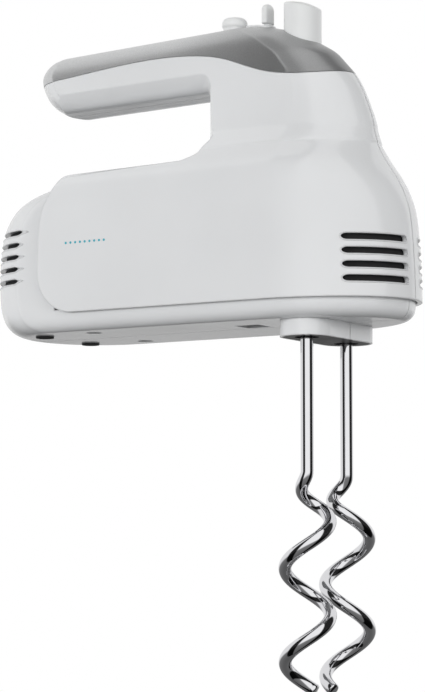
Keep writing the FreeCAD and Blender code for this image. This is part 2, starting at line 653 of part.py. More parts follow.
def worm_wheel():
    """Helical wheel on the Z axis, pressed onto its spindle."""
    pitch_r = MODULE_MM * WHEEL_TEETH / 2
    lead_slope = WORM_STARTS * MODULE_MM / 2 / WORM_PITCH_R
    twist = lead_slope / pitch_r * WHEEL_WIDTH / 2
    low, high = MOTOR_Z - WHEEL_WIDTH / 2, MOTOR_Z + WHEEL_WIDTH / 2
    outlines = [wheel_outline(low, -twist), wheel_outline(MOTOR_Z, 0), wheel_outline(high, twist)]
    teeth = Part.makeLoft(outlines, True, True)
    web = tube(0, 0, high - 1.5, high + 1, 11.0, 7.5).fuse(tube(0, 0, low - 1, low + 1.5, 11.0, 7.5))
    return teeth.cut(web).cut(post(0, 0, low - 1, high + 1, SPINDLE_NECK_R))


def worm_thread(start):
    """One helical ridge of the worm about the motor's axis."""
    half = MODULE_MM * math.pi / 4 - BACKLASH
    lead = WORM_STARTS * MODULE_MM * math.pi
    flank = math.tan(math.radians(20))
    right = []
    for dr in (-1.9, -1.2, -0.55, 0.15, 0.75):
        right.append((half - dr * flank, WORM_PITCH_R + dr))
    crown = [(0.0, WORM_PITCH_R + 0.85)]
    left = [(-dx, r) for dx, r in reversed(right)]
    section = right + crown + left + [(0.0, WORM_PITCH_R - 2.1)]
    turns = 2 * (WORM_HALF_LENGTH - 1) / lead
    steps = int(turns * 16)
    loops = []
    for i in range(steps + 1):
        advance = -turns / 2 + turns * i / steps
        angle = 2 * math.pi * (advance + start / WORM_STARTS)
        x = lead * advance
        loops.append([V(x + dx, r * math.cos(angle), MOTOR_Z + r * math.sin(angle)) for dx, r in section])
    return skinned_solid(loops)


def worm():
    """Two-start worm on the front of the motor shaft."""
    core_r = WORM_PITCH_R - 1.2
    core = disc(-WORM_HALF_LENGTH, WORM_HALF_LENGTH, core_r)
    whole = fuse([core] + [worm_thread(start) for start in range(WORM_STARTS)])
    return whole.cut(disc(-WORM_HALF_LENGTH - 5, WORM_HALF_LENGTH + 5, SHAFT_R))


def gear_frame():
    """Bridge over the worm wheels that carries the upper bushes and front bearing."""
    x0, x1 = FRAME_WALL_X
    plate = box(-x1, x1, -27, 27, FRAME_TOP_Z - FRAME_PLATE_T, FRAME_TOP_Z)
    walls = [box(a, b, -21, 21, UNDERSIDE_Z + WALL, FRAME_TOP_Z) for a, b in ((-x1, -x0), (x0, x1))]
    frame = fuse([plate] + walls)
    frame = frame.cut(fuse([disc(x0 - 1, x1 + 1, BEARING_R), disc(-x1 - 1, -x0 + 1, WORM_PITCH_R + 2.5)]))
    bores = [post(0, y, 0, FRAME_TOP_Z + 1, UPPER_BUSH_R) for y in (-BEATER_SPACING / 2, BEATER_SPACING / 2)]
    return frame.cut(fuse(bores))


def bushes(z0, z1, r_out, r_in):
    return Part.makeCompound(on_spindles(tube(0, 0, z0, z1, r_out, r_in)))


# ---- motor -----------------------------------------------------------------------------


def about_motor(shape, turn):
    """A copy turned about the motor's axis, in degrees."""
    turned = shape.copy()
    turned.rotate(V(0, 0, MOTOR_Z), V(1, 0, 0), turn)
    return turned


def coil_window(grow):
    """Space for one side of a field coil, right of and above the axis."""
    return (COIL_Y[0] - grow, COIL_Y[1] + grow), (COIL_Z[0] - grow, COIL_Z[1] + grow)


def stator_core():
    height = MOTOR_Z - STATOR_BOTTOM_Z
    block = box(*STATOR_X, -STATOR_HALF, STATOR_HALF, MOTOR_Z - height, MOTOR_Z + height)
    edges = [e for e in block.Edges if abs(e.tangentAt(e.FirstParameter).x) > 0.9]
    block = block.makeFillet(STATOR_ROUND, edges)
    (y0, y1), (z0, z1) = coil_window(0.3)
    x0, x1 = STATOR_X[0] - 1, STATOR_X[1] + 1
    window = box(x0, x1, y0, y1, MOTOR_Z + z0, MOTOR_Z + z1)
    windows = [window, mirrored(window), about_motor(window, 180), about_motor(mirrored(window), 180)]
    return block.cut(fuse([disc(x0, x1, BORE_R)] + windows))


def field_coils():
    """Two coils, each round one pole, with their ends bent clear of the armature."""
    (y0, y1), (z0, z1) = coil_window(0)
    x0, x1 = STATOR_X[0] - COIL_END, STATOR_X[1] + COIL_END
    leg = box(x0, x1, y0, y1, MOTOR_Z + z0, MOTOR_Z + z1)
    bars = []
    for a, b in ((x0, x0 + 4.5), (x1 - 4.5, x1)):
        bars.append(box(a, b, -y1, y1, MOTOR_Z + z1 - 0.5, MOTOR_Z + z1 + COIL_BAR))
    upper = fuse([leg, mirrored(leg)] + bars)
    return Part.makeCompound([upper, about_motor(upper, 180)])


def armature_core():
    radius = BORE_R - AIR_GAP
    core = disc(*STATOR_X, radius)
    slots = []
    for i in range(ARMATURE_SLOTS):
        slot = disc(STATOR_X[0] - 1, STATOR_X[1] + 1, SLOT_R, SLOT_CENTRE_R)
        mouth = box(STATOR_X[0] - 1, STATOR_X[1] + 1, SLOT_CENTRE_R, radius + 1, MOTOR_Z - 0.5, MOTOR_Z + 0.5)
        slots.append(about_motor(slot.fuse(mouth), 360 / ARMATURE_SLOTS * i))
    return core.cut(fuse(slots + [disc(STATOR_X[0] - 1, STATOR_X[1] + 1, SHAFT_R)]))


def armature_winding():
    """Copper in the slots and the bundled ends outside the core."""
    x0, x1 = STATOR_X
    bar = disc(x0 - 1, x1 + 1, SLOT_R - 0.1, SLOT_CENTRE_R)
    bars = [about_motor(bar, 360 / ARMATURE_SLOTS * i) for i in range(ARMATURE_SLOTS)]
    ends = []
    for a, b in ((x0 - 6, x0), (x1, x1 + 5)):
        bundle = ring(a, b, 14.6, SHAFT_R + 0.5)
        rims = [e for e in bundle.Edges if e.BoundBox.YLength > 25]
        ends.append(bundle.makeFillet(2.0, rims))
    return fuse(ends + bars)


def commutator():
    body = ring(*COMMUTATOR_X, COMMUTATOR_R, SHAFT_R)
    groove = box(COMMUTATOR_X[0] - 1, COMMUTATOR_X[1] + 1, COMMUTATOR_R - 1.2, COMMUTATOR_R + 1,
                 MOTOR_Z - 0.25, MOTOR_Z + 0.25)
    return body.cut(fuse([about_motor(groove, 360 / COMMUTATOR_BARS * i) for i in range(COMMUTATOR_BARS)]))


def fan():
    """Cooling fan between the motor and the gears."""
    x0, x1 = FAN_X
    hub = ring(x0, x1, 6.5, SHAFT_R)
    plate = ring(x0, x0 + 1.5, FAN_R, SHAFT_R)
    blade = box(x0, x1, 5.0, FAN_R - 1.0, MOTOR_Z - 0.7, MOTOR_Z + 0.7)
    blade.rotate(V(0, 12, MOTOR_Z), V(1, 0, 0), 14)
    return fuse([hub, plate] + [about_motor(blade, 360 / FAN_BLADES * i) for i in range(FAN_BLADES)])


def motor_shaft():
    return disc(SHAFT_BACK_X, SHAFT_FRONT_X, SHAFT_R)


def bearing(x0, x1):
    return ring(x0, x1, BEARING_R, SHAFT_R + RUNNING)


def rear_bracket():
    """End frame of the motor, with arms to the stator and a shelf for the terminals."""
    x0, x1 = BRACKET_X
    plate = box(x0, x1, -HOLDER_OUT_Y - 3, HOLDER_OUT_Y + 3, MOTOR_Z - 9, MOTOR_Z + 9)
    arm = box(x0, STATOR_X[0], HOLDER_OUT_Y, HOLDER_OUT_Y + 3, MOTOR_Z - 4, MOTOR_Z + 4)
    shelf = box(x1 - SHELF_REACH, x1, -SHELF_HALF_Y, SHELF_HALF_Y, BLOCK_Z - 2, BLOCK_Z)
    return fuse([plate, arm, mirrored(arm), shelf]).cut(disc(x0 - 1, x1 + 1, BEARING_R))


def brush_set():
    """Right-hand brush, its holder and its spring."""
    x0, x1 = BRUSH_X
    low, high = MOTOR_Z - BRUSH_HALF_Z, MOTOR_Z + BRUSH_HALF_Z
    brush = box(x0, x1, -BRUSH_OUT_Y, -COMMUTATOR_R - 0.1, low, high)
    holder = box(x0 - HOLDER_T, x1 + HOLDER_T, -HOLDER_OUT_Y, -COMMUTATOR_R - 1.6,
                 low - HOLDER_T, high + HOLDER_T)
    holder = holder.cut(box(x0, x1, -HOLDER_OUT_Y + 1, 0, low, high))
    spring = coil_spring(0, 0, 0, HOLDER_OUT_Y - 1 - BRUSH_OUT_Y, 2.0, 0.3, 4)
    spring.rotate(V(0, 0, 0), V(1, 0, 0), 90)
    spring.translate(V((x0 + x1) / 2, -BRUSH_OUT_Y, MOTOR_Z))
    return brush, holder, spring


# ---- controls ------------------------------------------------------------------------------


def control_chassis():
    """Plate across the neck with a raised table for the two switches."""
    low, high = SHELF_Z, SHELF_Z + CHASSIS_T
    plate = box(*CHASSIS_X, -CHASSIS_HALF_Y, CHASSIS_HALF_Y, low, high)
    riser = box(-47, -24, 6, 8, high, SWITCH_Z - 2)
    table = box(-58, -23, -8, 8, SWITCH_Z - 2, SWITCH_Z)
    holes = [post(EJECT_X, 0, 0, FAR, LINK_R + LINK_PLAY)]
    holes += [post(x, WIRE_LANE_Y, 0, SWITCH_Z - 10, LEAD_R + 0.5) for x in LEAD_RISE_X]
    return fuse([plate, riser, mirrored(riser), table]).cut(fuse(holes))


def speed_switch():
    body = box(-43, -24, -7, 7, SWITCH_Z, SWITCH_TOP_Z)
    return body.cut(box(-42, -25, -3, 3, SWITCH_TOP_Z - 1.5, SWITCH_TOP_Z + 1))


def pulse_switch():
    body = box(-56, -45.5, -6, 6, SWITCH_Z, PULSE_TOP_Z)
    return body.fuse(post(TURBO_X - 1.5, 0, PULSE_TOP_Z - 1, PULSE_TOP_Z + 2, 1.6))


def eject_button():
    """Tall round button; its crown slopes down towards the nose."""
    column = post(EJECT_X, 0, LINK_TOP_Z, EJECT_TOP_Z + 6, EJECT_R)
    crown_r = 26.0
    crown = Part.makeSphere(crown_r, V(EJECT_X - 6.0, 0, EJECT_TOP_Z - crown_r + 0.6))
    column = column.common(crown.fuse(post(EJECT_X, 0, 100, EJECT_TOP_Z - 12, EJECT_R + 1)))
    rims = [e for e in column.Edges if e.BoundBox.ZMin > EJECT_TOP_Z - 14 and e.BoundBox.XLength > 10]
    column = column.makeFillet(1.2, rims)
    return column.fuse(post(EJECT_X, 0, LINK_TOP_Z, LINK_TOP_Z + 2, EJECT_R + 1.2))


def ejector_link():
    """Rod from the eject button to a bridge whose pins reach both spindles."""
    low, high = BRIDGE_Z
    collar = post(EJECT_X, 0, LINK_TOP_Z - LINK_COLLAR_T, LINK_TOP_Z, 7.0)
    rod = post(EJECT_X, 0, low, LINK_TOP_Z, LINK_R)
    bridge = [box(EJECT_X - 4, 3.5, -4.5, 4.5, low, high), box(-3.5, 3.5, -22, 22, low, high)]
    half = BEATER_SPACING / 2
    pins = [post(0, y, BEATER_TOP_Z + PIN_GAP, low + 1, PIN_R) for y in (-half, half)]
    return fuse([collar, rod] + bridge + pins)


def speed_slider():
    """Upright fin on top, its neck through the slot and its foot on the switch."""
    surface = HANDLE_TOP_Z + TRACK_T + BUTTON_GAP
    half_x, half_y = 1.75, 4.0
    fin = box(SLIDER_X - half_x, SLIDER_X + half_x, -half_y, half_y, surface, SLIDER_TOP_Z)
    edges = [e for e in fin.Edges if e.BoundBox.ZMin > SLIDER_TOP_Z - 0.1 and e.BoundBox.YLength < 0.1]
    fin = fin.makeFillet(3.2, edges)
    neck = box(SLIDER_X - SLIDER_NECK_X / 2, SLIDER_X + SLIDER_NECK_X / 2,
               -SLIDER_NECK_Y / 2, SLIDER_NECK_Y / 2, 141, surface + 1)
    foot = box(SLIDER_X - 6, SLIDER_X + 6, -5, 5, SWITCH_TOP_Z + 0.5, SWITCH_TOP_Z + 3.5)
    return fuse([fin, neck, foot])


def turbo_button():
    """Low round button with a domed top and a flange under the cover."""
    column = post(TURBO_X, 0, TURBO_FLANGE_Z[0], TURBO_TOP_Z + 3, TURBO_R)
    dome_r = 14.0
    dome = Part.makeSphere(dome_r, V(TURBO_X, 0, TURBO_TOP_Z - dome_r))
    column = column.common(dome.fuse(post(TURBO_X, 0, 100, TURBO_TOP_Z - 4, TURBO_R + 1)))
    return column.fuse(post(TURBO_X, 0, *TURBO_FLANGE_Z, TURBO_R + 1.4))


def control_board():
    return box(-46, 2, *BOARD_Y, SHELF_Z + CHASSIS_T, BOARD_TOP_Z)


def board_parts():
    """Capacitors, resistor and the cooled triac on the control board."""
    face = BOARD_Y[1]
    parts = [box(-20, -6, face, face + 1.2, 101, 118), box(-18, -8, face + 1.2, face + 4.0, 104, 112)]
    parts += [Part.makeCylinder(2.6, 4.2, V(x, face, 114), V(0, 1, 0)) for x in (-38, -29)]
    parts += [box(x - 1.4, x + 1.4, face, face + 2.6, LEAD_END_Z, LEAD_END_Z + 3) for x in LEAD_RISE_X]
    return Part.makeCompound([fuse(parts[:2])] + parts[2:])


def lead(index, start_x, start_z):
    """An inner lead from its start up to its lane, along it and up to the board."""
    lane, rise = LEAD_LANE_Z[index], LEAD_RISE_X[index]
    y = WIRE_LANE_Y
    corners = [V(start_x, y, start_z), V(start_x, y, lane), V(rise, y, lane), V(rise, y, LEAD_END_Z)]
    return bent_wire(corners, LEAD_R, LEAD_BEND)


def terminal_block():
    x1 = BRACKET_X[1] - 1.0
    block = box(x1 - 16, x1, -SHELF_HALF_Y + 1, SHELF_HALF_Y - 1, BLOCK_Z, BLOCK_Z + BLOCK_HEIGHT)
    slots = [box(x1 - 17, x1 + 1, y - 0.6, y + 0.6, BLOCK_Z + 5, BLOCK_Z + 9) for y in (-8.0, 0.0, 8.0)]
    return block.cut(fuse(slots))


def nose_plate():
    plate = stadium(BEATER_SPACING, NOSE_PLATE_R - 0.1, 0, NOSE_PLATE_T)
    holes = [post(0, y, -1, 3, EAR_REACH + 0.6) for y in (-BEATER_SPACING / 2, BEATER_SPACING / 2)]
    return plate.cut(fuse(holes))


def latch_socket():
    """Closed pocket behind the slot in the underside."""
    (x0, x1), (y0, y1), t = LATCH_X, LATCH_Y, LATCH_WALL
    floor = UNDERSIDE_Z + WALL
    top = UNDERSIDE_Z + LATCH_DEPTH
    return box(x0 - t, x1 + t, y0 - t, y1 + t, floor, top + t).cut(box(x0, x1, y0, y1, 0, top))


def cord_gland():
    """Flanged ring in the rear wall, where the cord comes in."""
    end = REAR_X + 1.0
    sleeve = disc(end, end + GLAND_LENGTH, GLAND_R, 0, GLAND_Z)
    flange = disc(end + 5, end + 9, GLAND_R + 2, 0, GLAND_Z).common(base_blank(WALL + 0.2))
    return sleeve.fuse(flange).cut(disc(end - 1, end + GLAND_LENGTH + 1, CORD_HOLE_R, 0, GLAND_Z))


def save(name, shape):
    os.makedirs("parts", exist_ok=True)
    count = len(shape.Solids)
    if not shape.isValid() or count == 0:
        print("PROBLEM", name, shape.isValid(), count)
    else:
        print(name, count, round(shape.Volume))
    shape.exportStep("parts/" + name + ".step")


def save_housing():
    outer = raised_skin(0)
    hollow = raised_skin(WALL).fuse(panel_prism(0).common(base_blank(-SHELL_GAP)))
    right, left = upper_shells(outer, hollow, raised_skin(SEAM_DEPTH))
    save("upper_shell_right", right)
    save("upper_shell_left", left)
    save("top_cover", top_cover(outer, hollow))
    save("slider_track", slider_track(outer))
    right, left = base_shells()
    save("base_shell_right", right)
    save("base_shell_left", left)
    save("nose_plate", nose_plate())
    save("latch_socket", latch_socket())
    save("cord_gland", cord_gland())
    feet = post(FOOT_X, FOOT_Y, UNDERSIDE_Z - FOOT_PROUD, FOOT_SEAT_Z, FOOT_R)
    save("rear_feet", Part.makeCompound(both_sides(feet)))
    screw = post(SCREW_X, SCREW_Y, SCREW_SEAT_Z - 2.2, SCREW_SEAT_Z, SCREW_HEAD_R)
    screw = screw.fuse(post(SCREW_X, SCREW_Y, SCREW_SEAT_Z, SCREW_POST_TOP_Z - 3, SCREW_R))
    save("base_screws", Part.makeCompound(both_sides(screw)))


def save_drive():
    right = beater().translated(V(0, -BEATER_SPACING / 2, 0))
    save("beater_right", right)
    save("beater_left", mirrored(right))
    for name, shape in (("spindle", spindle()), ("worm_wheel", worm_wheel())):
        right, left = on_spindles(shape)
        save(name + "_right", right)
        save(name + "_left", left)
    save("lower_bushes", bushes(NOSE_PLATE_T, BOSS_TOP_Z, BUSH_R, SPINDLE_R + RUNNING))
    save("upper_bushes", bushes(FRAME_TOP_Z - FRAME_PLATE_T, FRAME_TOP_Z, UPPER_BUSH_R,
                                SPINDLE_NECK_R + RUNNING))
    save("gear_frame", gear_frame())
    save("worm", worm())


def save_motor():
    save("motor_shaft", motor_shaft())
    save("stator_core", stator_core())
    save("field_coils", field_coils())
    save("armature_core", armature_core())
    save("armature_winding", armature_winding())
    save("commutator", commutator())
    save("cooling_fan", fan())
    save("front_bearing", bearing(*FRAME_WALL_X))
    save("rear_bearing", bearing(*BRACKET_X))
    save("rear_bracket", rear_bracket())
    for name, shape in zip(("carbon_brushes", "brush_holders", "brush_springs"), brush_set()):
        save(name, Part.makeCompound(both_sides(shape)))


def save_controls():
    save("eject_button", eject_button())
    save("ejector_link", ejector_link())
    low, high = SHELF_Z + CHASSIS_T, LINK_TOP_Z - LINK_COLLAR_T
    save("eject_spring", coil_spring(EJECT_X, 0, low, high, mean_r=5.2, wire_r=0.6, turns=7))
    save("speed_slider", speed_slider())
    save("turbo_button", turbo_button())
    low, high = PULSE_TOP_Z, TURBO_FLANGE_Z[0]
    save("turbo_spring", coil_spring(TURBO_X, 0, low, high, mean_r=3.6, wire_r=0.4, turns=5))
    save("control_chassis", control_chassis())
    save("speed_switch", speed_switch())
    save("pulse_switch", pulse_switch())
    save("control_board", control_board())
    save("board_parts", board_parts())
    save("terminal_block", terminal_block())
    save("supply_lead_live", lead(0, LEAD_START_X[0], BLOCK_Z + BLOCK_HEIGHT))
    save("supply_lead_neutral", lead(1, LEAD_START_X[1], BLOCK_Z + BLOCK_HEIGHT))
    save("motor_lead", lead(2, STATOR_X[1] + COIL_END / 2, MOTOR_Z + COIL_Z[1] + COIL_BAR))


save_housing()
save_drive()
save_motor()
save_controls()
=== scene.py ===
import json
import logging
import math
from dataclasses import dataclass
from enum import Enum
from typing import Iterable, Sequence

import bmesh
import bpy
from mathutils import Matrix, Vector
from mathutils.bvhtree import BVHTree


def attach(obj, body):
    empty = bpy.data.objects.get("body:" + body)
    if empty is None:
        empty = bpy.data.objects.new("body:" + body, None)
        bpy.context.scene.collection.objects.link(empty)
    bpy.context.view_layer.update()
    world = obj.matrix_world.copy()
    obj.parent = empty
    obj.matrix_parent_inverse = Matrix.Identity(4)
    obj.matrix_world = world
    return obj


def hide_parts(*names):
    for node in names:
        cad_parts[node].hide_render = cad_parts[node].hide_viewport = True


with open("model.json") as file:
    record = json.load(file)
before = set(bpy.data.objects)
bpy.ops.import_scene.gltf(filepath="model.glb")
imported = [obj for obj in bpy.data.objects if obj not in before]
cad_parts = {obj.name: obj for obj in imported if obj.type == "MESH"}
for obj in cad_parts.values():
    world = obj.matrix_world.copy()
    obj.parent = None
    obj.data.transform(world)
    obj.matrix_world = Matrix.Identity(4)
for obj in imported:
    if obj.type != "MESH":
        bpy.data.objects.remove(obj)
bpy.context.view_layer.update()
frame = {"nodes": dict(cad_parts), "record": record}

LOG = logging.getLogger("hand_mixer")
MM = 0.001
ON_AXIS = 1e-6  # a radius in mm below this is a point on the axis
RAY_FRONT_X = 0.1  # rays start ahead of the housing here, in metres
RAY_REAR_X = -0.3  # or behind it here
RAY_RIGHT_Y = -0.1  # or to its right here
Point = tuple[float, float, float]
Colour = tuple[float, float, float]
Stops = tuple[tuple[float, float], ...]
Skin = tuple[list[Vector], list[list[int]]]
Socket = bpy.types.NodeSocket
Material = bpy.types.Material
Pieces = Iterable[bpy.types.Object]


SHELLS = ("upper_shell_right", "upper_shell_left")
BASES = ("base_shell_right", "base_shell_left")

# ventilation slots and the solid bars between them, in mm
FRONT_SLOTS = (24.9, 31.3, 37.7, 44.1)
FRONT_SPAN = (5.2, 31.2)
FRONT_SLOT_R = 1.6
FRONT_BARS = (20.5, 28.1, 34.5, 40.9, 48.5)
FRONT_SHEET_SPAN = (3.4, 33.0)
REAR_SLOTS = (33.6, 39.6, 45.6, 51.5, 57.4)
REAR_SPAN = (3.6, 38.7)
REAR_SLOT_R = 1.25
REAR_BARS = (30.6, 36.6, 42.6, 48.55, 54.45, 60.3)
REAR_SHEET_SPAN = (2.4, 40.0)


class Side(Enum):
    """The two sides of the mixer, as the sign of Y."""

    RIGHT = -1
    LEFT = 1


class Body(Enum):
    """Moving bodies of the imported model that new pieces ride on."""

    HOUSING = "housing"
    BEATER_RIGHT = "beater_r"
    BEATER_LEFT = "beater_l"
    SLIDER = "speed_control"
    TURBO = "turbo"


# ---- finishes ------------------------------------------------------------------


class Nodes:
    """A material's node tree with short ways to add and join nodes."""

    def __init__(self, name: str) -> None:
        """Make an empty node material.

        Args:
            name: Name of the material.
        """
        self.material = bpy.data.materials.new(name)
        self.material.use_nodes = True
        self.tree = self.material.node_tree
        self.shader = self.tree.nodes["Principled BSDF"]
        self.object_space = self.add("ShaderNodeTexCoord").outputs["Object"]

    def add(self, kind: str, **values: object) -> bpy.types.Node:
        """Add a node and set its properties or inputs.

        Args:
            kind: Blender's node type.
            values: Properties, or inputs with spaces written as underscores.

        Returns:
            The new node.
        """
        node = self.tree.nodes.new(kind)
        for key, value in values.items():
            if hasattr(node, key):
                setattr(node, key, value)
            else:
                node.inputs[key.replace("_", " ")].default_value = value
        return node

    def join(self, output: Socket, target: Socket) -> None:
        """Link an output to an input.

        Args:
            output: Where the value comes from.
            target: The input that takes it.
        """
        self.tree.links.new(output, target)

    def noise(self, scale: float, detail: float = 2.0, stretch: Point = (1.0, 1.0, 1.0)) -> Socket:
        """Add a noise field in object space.

        Args:
            scale: Cells per metre.
            detail: Octaves of the noise.
            stretch: Scale of each axis before the noise is read.

        Returns:
            The noise's value output.
        """
        mapping = self.add("ShaderNodeMapping")
        mapping.inputs["Scale"].default_value = stretch
        self.join(self.object_space, mapping.inputs["Vector"])
        noise = self.add("ShaderNodeTexNoise", Scale=scale, Detail=detail)
        self.join(mapping.outputs["Vector"], noise.inputs["Vector"])
        return noise.outputs["Fac"]

    def ramp(self, value: Socket, stops: Sequence[tuple[float, Colour]]) -> Socket:
        """Map a value to colours.

        Args:
            value: The value to map.
            stops: Position and colour of each stop, two or more.

        Returns:
            The colour output.
        """
        ramp = self.add("ShaderNodeValToRGB")
        elements = ramp.color_ramp.elements
        while len(elements) < len(stops):
            elements.new(0.5)
        for element, (position, colour) in zip(elements, stops):
            element.position = position
            element.color = (*colour, 1.0)
        self.join(value, ramp.inputs["Fac"])
        return ramp.outputs["Color"]

    def spread(self, value: Socket, low: float, high: float) -> Socket:
        """Map a 0 to 1 value onto another range.

        Args:
            value: The value to map.
            low: What 0 becomes.
            high: What 1 becomes.

        Returns:
            The mapped value.
        """
        span = self.add("ShaderNodeMapRange", To_Min=low, To_Max=high)
        self.join(value, span.inputs["Value"])
        return span.outputs["Result"]

    def bump(self, height: Socket, depth: float, before: Socket | None = None) -> Socket:
        """Add relief.

        Args:
            height: The relief's 0 to 1 height.
            depth: Its depth in metres.
            before: The normal of relief that comes first, if any.

        Returns:
            The bumped normal.
        """
        bump = self.add("ShaderNodeBump", Strength=1.0, Distance=depth)
        self.join(height, bump.inputs["Height"])
        if before is not None:
            self.join(before, bump.inputs["Normal"])
        return bump.outputs["Normal"]


def between(colour: Colour, share: float) -> Colour:
    """Scale a colour, kept within 0 to 1.

    Args:
        colour: The colour.
        share: What to multiply it by.

    Returns:
        The scaled colour.
    """
    return tuple(min(1.0, channel * share) for channel in colour)


@dataclass(frozen=True)
class MouldedPlastic:
    """Injection-moulded plastic with faint flow tone and surface grain."""

    name: str
    colour: Colour
    roughness: float
    coat: float = 0.0
    grain_scale: float = 2600.0
    grain_depth: float = 0.000004
    waviness: float = 0.00003
    scatter: float = 0.0
    edge: float = 0.0

    def build(self) -> Material:
        """Make the material.

        Returns:
            The material.
        """
        n = Nodes(self.name)
        tone = n.noise(14.0, 3.0)
        shade = n.ramp(tone, [(0.3, between(self.colour, 0.97)), (0.7, between(self.colour, 1.02))])
        n.join(shade, n.shader.inputs["Base Color"])
        wear = n.spread(n.noise(60.0, 4.0), self.roughness * 0.8, self.roughness * 1.25)
        n.join(wear, n.shader.inputs["Roughness"])
        soft = None
        if self.edge:
            soft = n.add("ShaderNodeBevel", samples=4, Radius=self.edge).outputs["Normal"]
        sink = n.bump(n.noise(38.0, 1.0), self.waviness, soft)
        n.join(n.bump(n.noise(self.grain_scale, 2.0), self.grain_depth, sink), n.shader.inputs["Normal"])
        n.shader.inputs["Coat Weight"].default_value = self.coat
        n.shader.inputs["Coat Roughness"].default_value = 0.06
        n.shader.inputs["IOR"].default_value = 1.5
        if self.scatter:
            n.shader.inputs["Subsurface Weight"].default_value = self.scatter
            n.shader.inputs["Subsurface Radius"].default_value = (0.004, 0.004, 0.0035)
            n.shader.inputs["Subsurface Scale"].default_value = 0.4
        return n.material


@dataclass(frozen=True)
class MetallicPaint:
    """Silver paint: fine flakes under a satin lacquer, with painted shade that darkens it towards the front.
    """

    name: str
    colour: Colour
    roughness: float
    rear: float = -0.13
    front: float = 0.02
    front_shade_level: float = 0.4

    def build(self) -> Material:
        """Make the material: painted shade darkens it from rear to front, standing in for the cover's darker
        reflection there.

        Returns:
            The material.
        """
        n = Nodes(self.name)
        flakes = n.noise(5200.0, 1.0)
        shade = n.ramp(flakes, [(0.35, between(self.colour, 0.86)), (0.65, between(self.colour, 1.12))])
        split = n.add("ShaderNodeSeparateXYZ")
        n.join(n.object_space, split.inputs["Vector"])
        along = n.add("ShaderNodeMapRange", From_Min=self.rear, From_Max=self.front)
        n.join(split.outputs["X"], along.inputs["Value"])
        # painted shade: the colour is scaled down towards the front, standing in for the darker reflection
        # the cover shows there
        white, shade_grey = (1.0, 1.0, 1.0), (self.front_shade_level,) * 3
        front_shade_ramp = n.ramp(along.outputs["Result"], [(0.0, white), (0.35, white), (1.0, shade_grey)])
        flakes_in_shade = n.add("ShaderNodeVectorMath", operation="MULTIPLY")
        n.join(shade, flakes_in_shade.inputs[0])
        n.join(front_shade_ramp, flakes_in_shade.inputs[1])
        n.join(flakes_in_shade.outputs["Vector"], n.shader.inputs["Base Color"])
        n.shader.inputs["Metallic"].default_value = 0.85
        wear = n.spread(n.noise(90.0, 3.0), self.roughness * 0.88, self.roughness * 1.12)
        n.join(wear, n.shader.inputs["Roughness"])
        n.join(n.bump(flakes, 0.000003, n.bump(n.noise(40.0, 1.0), 0.00002)), n.shader.inputs["Normal"])
        n.shader.inputs["Coat Weight"].default_value = 0.25
        n.shader.inputs["Coat Roughness"].default_value = 0.12
        return n.material


@dataclass(frozen=True)
class BareMetal:
    """Metal with fine lines along one axis and slight staining."""

    name: str
    colour: Colour
    roughness: float
    lines: Point = (1.0, 1.0, 1.0)
    line_scale: float = 900.0
    line_depth: float = 0.000004
    stain: float = 0.9

    def build(self) -> Material:
        """Make the material.

        Returns:
            The material.
        """
        n = Nodes(self.name)
        cloud = n.noise(120.0, 4.0)
        shade = n.ramp(cloud, [(0.3, between(self.colour, self.stain)), (0.7, self.colour)])
        n.join(shade, n.shader.inputs["Base Color"])
        n.shader.inputs["Metallic"].default_value = 1.0
        n.join(n.spread(cloud, self.roughness * 0.75, self.roughness * 1.3), n.shader.inputs["Roughness"])
        lines = n.noise(self.line_scale, 2.0, self.lines)
        n.join(n.bump(lines, self.line_depth), n.shader.inputs["Normal"])
        return n.material


@dataclass(frozen=True)
class Windings:
    """Enamelled copper wire laid side by side, with painted shade in the grooves between wires."""

    name: str
    colour: Colour
    wires_per_metre: float
    direction: str = "X"

    def build(self) -> Material:
        """Make the material.

        Returns:
            The material.
        """
        n = Nodes(self.name)
        wave = n.add("ShaderNodeTexWave", Scale=self.wires_per_metre, Distortion=0.6, Detail=1.0)
        wave.bands_direction = self.direction
        n.join(n.object_space, wave.inputs["Vector"])
        # painted shade: the grooves between wires are darkened to 45 per cent of the copper colour
        dark = between(self.colour, 0.45)
        n.join(n.ramp(wave.outputs["Fac"], [(0.15, dark), (0.6, self.colour)]), n.shader.inputs["Base Color"])
        n.shader.inputs["Metallic"].default_value = 0.8
        n.join(n.spread(n.noise(200.0, 2.0), 0.25, 0.4), n.shader.inputs["Roughness"])
        n.join(n.bump(wave.outputs["Fac"], 0.0002), n.shader.inputs["Normal"])
        n.shader.inputs["Coat Weight"].default_value = 0.5
        return n.material


WHITE: Colour = (0.80, 0.81, 0.82)
SHELL_WHITE = MouldedPlastic("glossy_white_shell", WHITE, 0.2, coat=0.55, scatter=0.05, edge=0.0012)
BASE_WHITE = MouldedPlastic(
    "glossy_white_base", between(WHITE, 0.985), 0.24, coat=0.45, scatter=0.05, edge=0.001
)
BUTTON_WHITE = MouldedPlastic(
    "satin_white_buttons", (0.83, 0.84, 0.84), 0.33, coat=0.15, scatter=0.08, edge=0.001
)
COVER_SILVER = MetallicPaint("silver_painted_cover", (0.72, 0.725, 0.73), 0.42)
